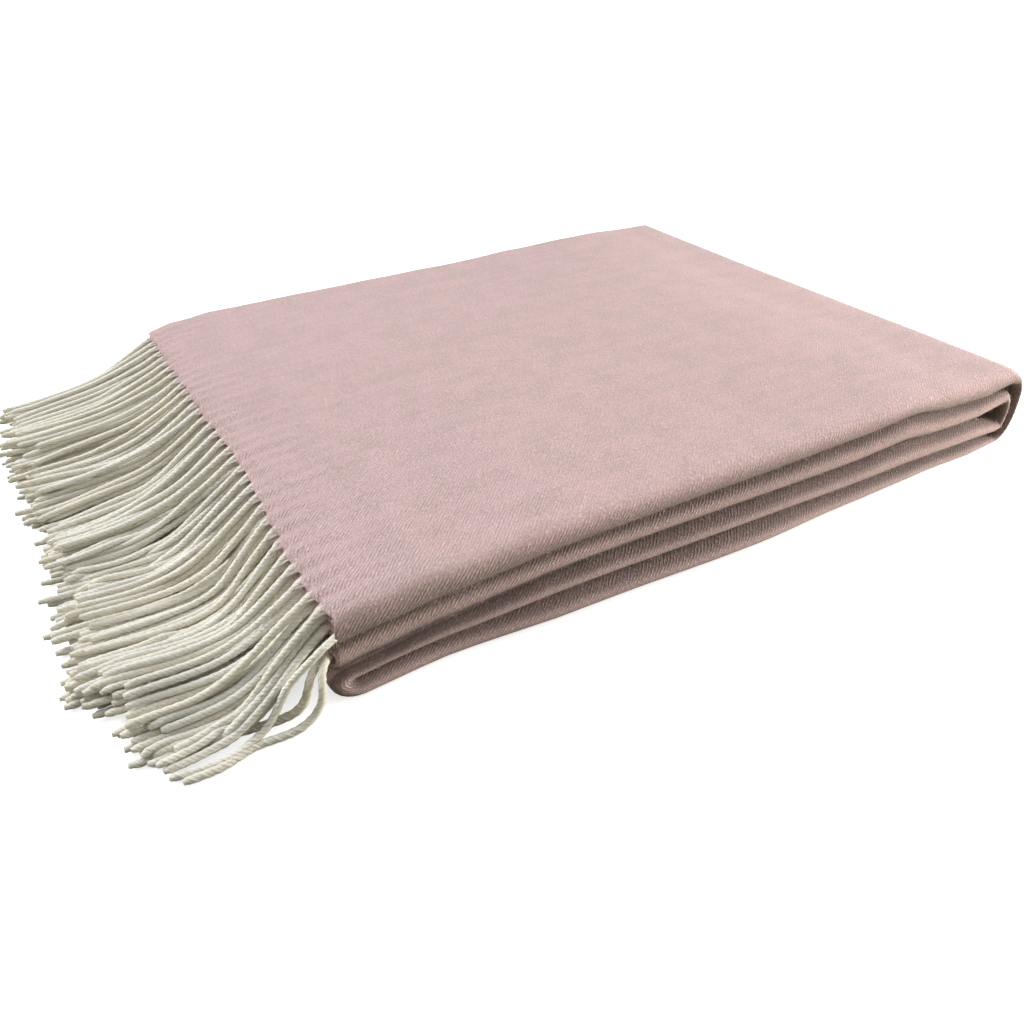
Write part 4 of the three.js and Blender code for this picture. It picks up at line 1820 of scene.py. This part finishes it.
@dataclass
class LooseHairs:
    """Short wool hairs that stand off a piece, grown with a geometry tree.

    Attributes:
        lift: How steeply they stand, as a share of their length.
        bend: Their middle, as shares of the length along and of the rise.
        end: Their tip, as shares of the length aside and of the rise.
        sizes: Range of their sizes.
        taper: How much thinner they are at the tip.
    """

    length: float = 2.7
    lift: float = 0.5
    bend: Pair = (0.4, 1.25)
    end: Pair = (0.25, 0.55)
    sizes: Pair = (0.5, 1.3)
    thickness: float = 0.07
    taper: float = 0.75
    sides: int = 3
    segments: int = 2

    def tree(self, name: str, material: bpy.types.Material) -> bpy.types.NodeTree:
        """Builds the tree that scatters bent hairs by the attribute nap.

        Args:
            name: The tree's name.
            material: The hairs' finish.

        Returns:
            The tree.
        """
        tree, n, into, out = geometry(name, [
            ("Hairs per square metre", FLOAT, 30000.0), ("Seed", "NodeSocketInt", 1),
            ("Hair length", FLOAT, self.length * MM), ("Lift", FLOAT, self.lift),
            ("Thickness", FLOAT, self.thickness * MM),
        ])
        seed, length = into["Seed"], into["Hair length"]
        spots = n.add("GeometryNodeDistributePointsOnFaces", {
            "Mesh": into["Geometry"], "Seed": seed,
            "Density": n.times(named(n, "nap"), into["Hairs per square metre"]),
        }, distribute_method="RANDOM").outputs
        rise = n.times(length, into["Lift"])
        hair = n.add("GeometryNodeCurveQuadraticBezier", {
            "Resolution": self.segments, "Start": (0.0, 0.0, 0.0),
            "Middle": n.joined(n.times(length, self.bend[0]), 0.0, n.times(rise, self.bend[1])),
            "End": n.joined(length, n.times(length, self.end[0]), n.times(rise, self.end[1])),
        }).outputs[0]
        spin, size = (
            n.add("FunctionNodeRandomValue", {2: low, 3: high, 8: own}, data_type="FLOAT").outputs[1]
            for low, high, own in ((0.0, TURN, seed), (*self.sizes, n.math("ADD", seed, 7.0)))
        )
        turn = n.add("FunctionNodeEulerToRotation", {0: n.joined(z=spin)}).outputs[0]
        way = n.add("FunctionNodeRotateRotation", {
            "Rotation": spots["Rotation"], "Rotate By": turn,
        }, rotation_space="LOCAL").outputs[0]
        placed = n.add("GeometryNodeInstanceOnPoints", {
            "Points": spots["Points"], "Instance": hair, "Rotation": way, "Scale": size,
        })
        real = n.add("GeometryNodeRealizeInstances", {"Geometry": placed.outputs[0]}).outputs[0]
        factor = n.add("GeometryNodeSplineParameter").outputs["Factor"]
        scale = n.times(into["Thickness"], n.times(factor, -self.taper, 1.0))
        finish(n, swept(n, real, ring(n, self.sides), scale), material, out)
        return tree

    def build(
        self, name: str, tree: bpy.types.NodeTree, grown_on: bpy.types.Object, density: float, seed: int,
    ) -> bpy.types.Object:
        """Grows the hairs of one piece.

        Args:
            name: The new piece's name.
            tree: The tree that scatters the hairs.
            grown_on: The piece that carries them.
            density: Hairs for each square metre where the nap is 1.
            seed: Number that fixes where they stand.

        Returns:
            The hairs as a piece.
        """
        made = grown(name, grown_on.data.copy(), tree, {"Hairs per square metre": density, "Seed": seed})
        return object_of(name, made)


@dataclass(frozen=True)
class Lamp:
    """One soft round light that points at the throw."""

    name: str
    place: Point
    size: float
    energy: float
    colour: Point

    def hang(self) -> None:
        """Adds the light to the scene."""
        data = bpy.data.lights.new(self.name, "AREA")
        data.shape, data.size, data.energy, data.color = "DISK", self.size, self.energy, self.colour
        lamp = object_of(self.name, data)
        lamp.location = self.place
        lamp.rotation_mode = "QUATERNION"
        lamp.rotation_quaternion = Vector(self.place).to_track_quat("Z", "Y")


@dataclass
class Studio:
    """The pale floor, the soft light and the camera.

    Attributes:
        sensor: Width of the camera's sensor.
        focus: Focal length as a share of that width.
        position: Where the camera stands, in millimetres of the stack's frame.
        yaw: Its turn about Z, from +X.
        pitch: How far it looks down.
        roll: Its turn about its own axis.
        floor_level: Height of the floor in metres, a little below the throw.
        floor_tones: The palest and darkest grey of the floor, as the eye sees it.
        floor_bounce: The tone that it throws back.
        near_sky: Colour of the dim side of the room.
        room_axis: The way to the bright side of the room.
        room_ends: Where the room is at its dimmest and brightest along that way.
    """

    frame: Frame
    lamps: tuple[Lamp, ...] = (
        Lamp("window", (-1.9, 1.3, 1.7), 1.4, 66.0, (1.0, 1.0, 1.0)),
        Lamp("side_window", (0.88, -0.42, 0.08), 0.34, 14.5, (1.0, 0.93, 0.82)),
    )
    sensor: float = 36.0
    focus: float = 888.2 / 1024.0
    position: Point = (-60.17, -231.56, 239.10)
    yaw: float = 1.050659
    pitch: float = 0.584391
    roll: float = -0.011280
    near_sky: Colour = (1.0, 0.97, 0.82, 1.0)
    near_strength: float = 0.125
    far_strength: float = 0.72
    room_axis: Point = (0.45, 0.55, 0.85)
    room_ends: Pair = (-0.5, 0.9)
    floor_glow: float = 0.7
    floor_reach: float = 20.0
    floor_level: float = -0.0003
    floor_tones: tuple[Colour, Colour] = ((0.93, 0.93, 0.93, 1.0), (0.95, 0.95, 0.95, 1.0))
    floor_bounce: Colour = (0.25, 0.25, 0.175, 1.0)

    def camera(self) -> None:
        """Places the camera where the photograph was taken from."""
        data = bpy.data.cameras.new("view")
        data.lens, data.sensor_width = self.sensor * self.focus, self.sensor
        data.clip_start, data.clip_end = 0.01, 50.0
        flat, down = math.cos(self.pitch), -math.sin(self.pitch)
        forward = Vector((math.cos(self.yaw) * flat, math.sin(self.yaw) * flat, down))
        side = Vector((math.sin(self.yaw), -math.cos(self.yaw), 0.0))
        up = side.cross(forward)
        c, e = math.cos(self.roll), math.sin(self.roll)
        axes = Matrix((side * c + up * e, up * c - side * e, -forward))
        camera = object_of("view", data)
        camera.rotation_mode = "QUATERNION"
        camera.rotation_quaternion = axes.transposed().to_quaternion()
        camera.location = Vector(self.frame.metres(np.array(self.position)).tolist())
        bpy.context.scene.camera = camera

    def floor(self) -> None:
        """Lays the floor: pale to the eye, and darker in the light that it throws back."""
        material, n = blank("pale_floor")
        eye = n.add("ShaderNodeLightPath").outputs["Is Camera Ray"]
        speckle = n.noise(n.add("ShaderNodeTexCoord").outputs["Object"], 40.0)
        principled(n, {
            "Base Color": n.blend(eye, self.floor_bounce, n.blend(speckle, *self.floor_tones)),
            "Emission Color": n.blend(eye, BLACK, WHITE), "Emission Strength": self.floor_glow,
            "Roughness": 0.9, "Specular IOR Level": 0.0,
        })
        signs = ((-1, -1), (1, -1), (1, 1), (-1, 1))
        corners = [(a * self.floor_reach, b * self.floor_reach, self.floor_level) for a, b in signs]
        mesh = mesh_of("floor", np.array(corners), [(0, 1, 2, 3)])
        mesh.materials.append(material)
        object_of("floor", mesh)

    def light(self) -> None:
        """Lights the scene: a room that is bright behind the throw and dim before it."""
        world = bpy.data.worlds.new("room")
        world.use_nodes = True
        world.node_tree.nodes.clear()
        n = Nodes(world.node_tree)
        way = n.parts(n.add("ShaderNodeTexCoord").outputs["Generated"])
        x, y, z = self.room_axis
        share = n.ranged(n.times(way[0], x, n.times(way[1], y, n.times(way[2], z))), *self.room_ends)
        strength = n.times(share, self.far_strength - self.near_strength, self.near_strength)
        glow, seen = (
            n.add("ShaderNodeBackground", {"Color": colour, "Strength": amount}).outputs[0]
            for colour, amount in ((n.blend(share, self.near_sky, WHITE), strength), (WHITE, 1.0))
        )
        eye = n.add("ShaderNodeLightPath").outputs["Is Camera Ray"]
        both = n.add("ShaderNodeMixShader", {0: eye, 1: glow, 2: seen})
        n.add("ShaderNodeOutputWorld", {"Surface": both.outputs[0]})
        bpy.context.scene.world = world
        for lamp in self.lamps:
            lamp.hang()
        bpy.context.scene.view_settings.view_transform = "Standard"


def ride(piece: bpy.types.Object, nodes: Sequence[str] = ()) -> bpy.types.Object:
    """Joins a finished piece to the frame.

    Args:
        piece: The piece.
        nodes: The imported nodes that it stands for.

    Returns:
        The piece.
    """
    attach(piece, "root")
    if nodes:
        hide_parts(*nodes)
    LOG.info("%s: %d faces", piece.name, len(piece.data.polygons))
    return piece


STRAND_PIECES = (
    ("fringe_top_outer", (0, 1), "upper_fringe"), ("fringe_top_inner", (2, 3), "upper_fringe"),
    ("fringe_second_inner", (4, 5), "lower_fringe"), ("fringe_second_outer", (6, 7), "lower_fringe"),
)


def fringe(bed: FringeBed, rope: Rope, material: bpy.types.Material) -> list[bpy.types.Object]:
    """Builds the strands and the yarns that gather into them.

    Args:
        bed: Where the strands lie.
        rope: How they are twisted.
        material: Their finish.

    Returns:
        The pieces, the upper strands first.
    """
    lines, rows = bed.lay()
    tree = rope.tree(material)
    pieces = []
    for name, wanted, node in STRAND_PIECES:
        strands = rope.build(name, tree, lines[np.isin(rows, wanted)], seed=wanted[0] + 21)
        pieces.append(ride(strands, [node]))
    yarns = rope.build("gathered_yarns", tree, bed.gathered(lines, rows), seed=51, girth=0.28, lead=5.0)
    return [*pieces, ride(yarns)]


def main() -> None:
    """Builds the throw over its frame."""
    logging.basicConfig(level=logging.INFO, format="%(name)s: %(message)s")
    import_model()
    stack = Stack()
    frame = Frame.of(stack)
    studio = Studio(frame)
    studio.camera()
    studio.floor()
    studio.light()
    effects = Effects()
    cloth = ThrowCloth(stack, frame)
    body = ride(cloth.build(BrushedTwill().make(effects)), ["throw_cloth"])
    pieces = fringe(FringeBed(stack, cloth), Rope(frame), TwistedWool().make(effects))
    hairs = LooseHairs()
    pink = LooseWool("loose_pink_wool", tone(240, 220, 216), tone(214, 184, 182)).make()
    cream = LooseWool("loose_cream_wool", tone(250, 246, 236), tone(228, 218, 198)).make()
    on_cloth = hairs.tree("Hairs on cloth", pink)
    on_strands = hairs.tree("Hairs on strands", cream)
    upper = pieces[0]
    pieces.append(ride(hairs.build("cloth_hairs", on_cloth, body, 25000.0, 3)))
    pieces.append(ride(hairs.build("strand_hairs", on_strands, upper, 120000.0, 4)))


if __name__ == "__main__":
    main()
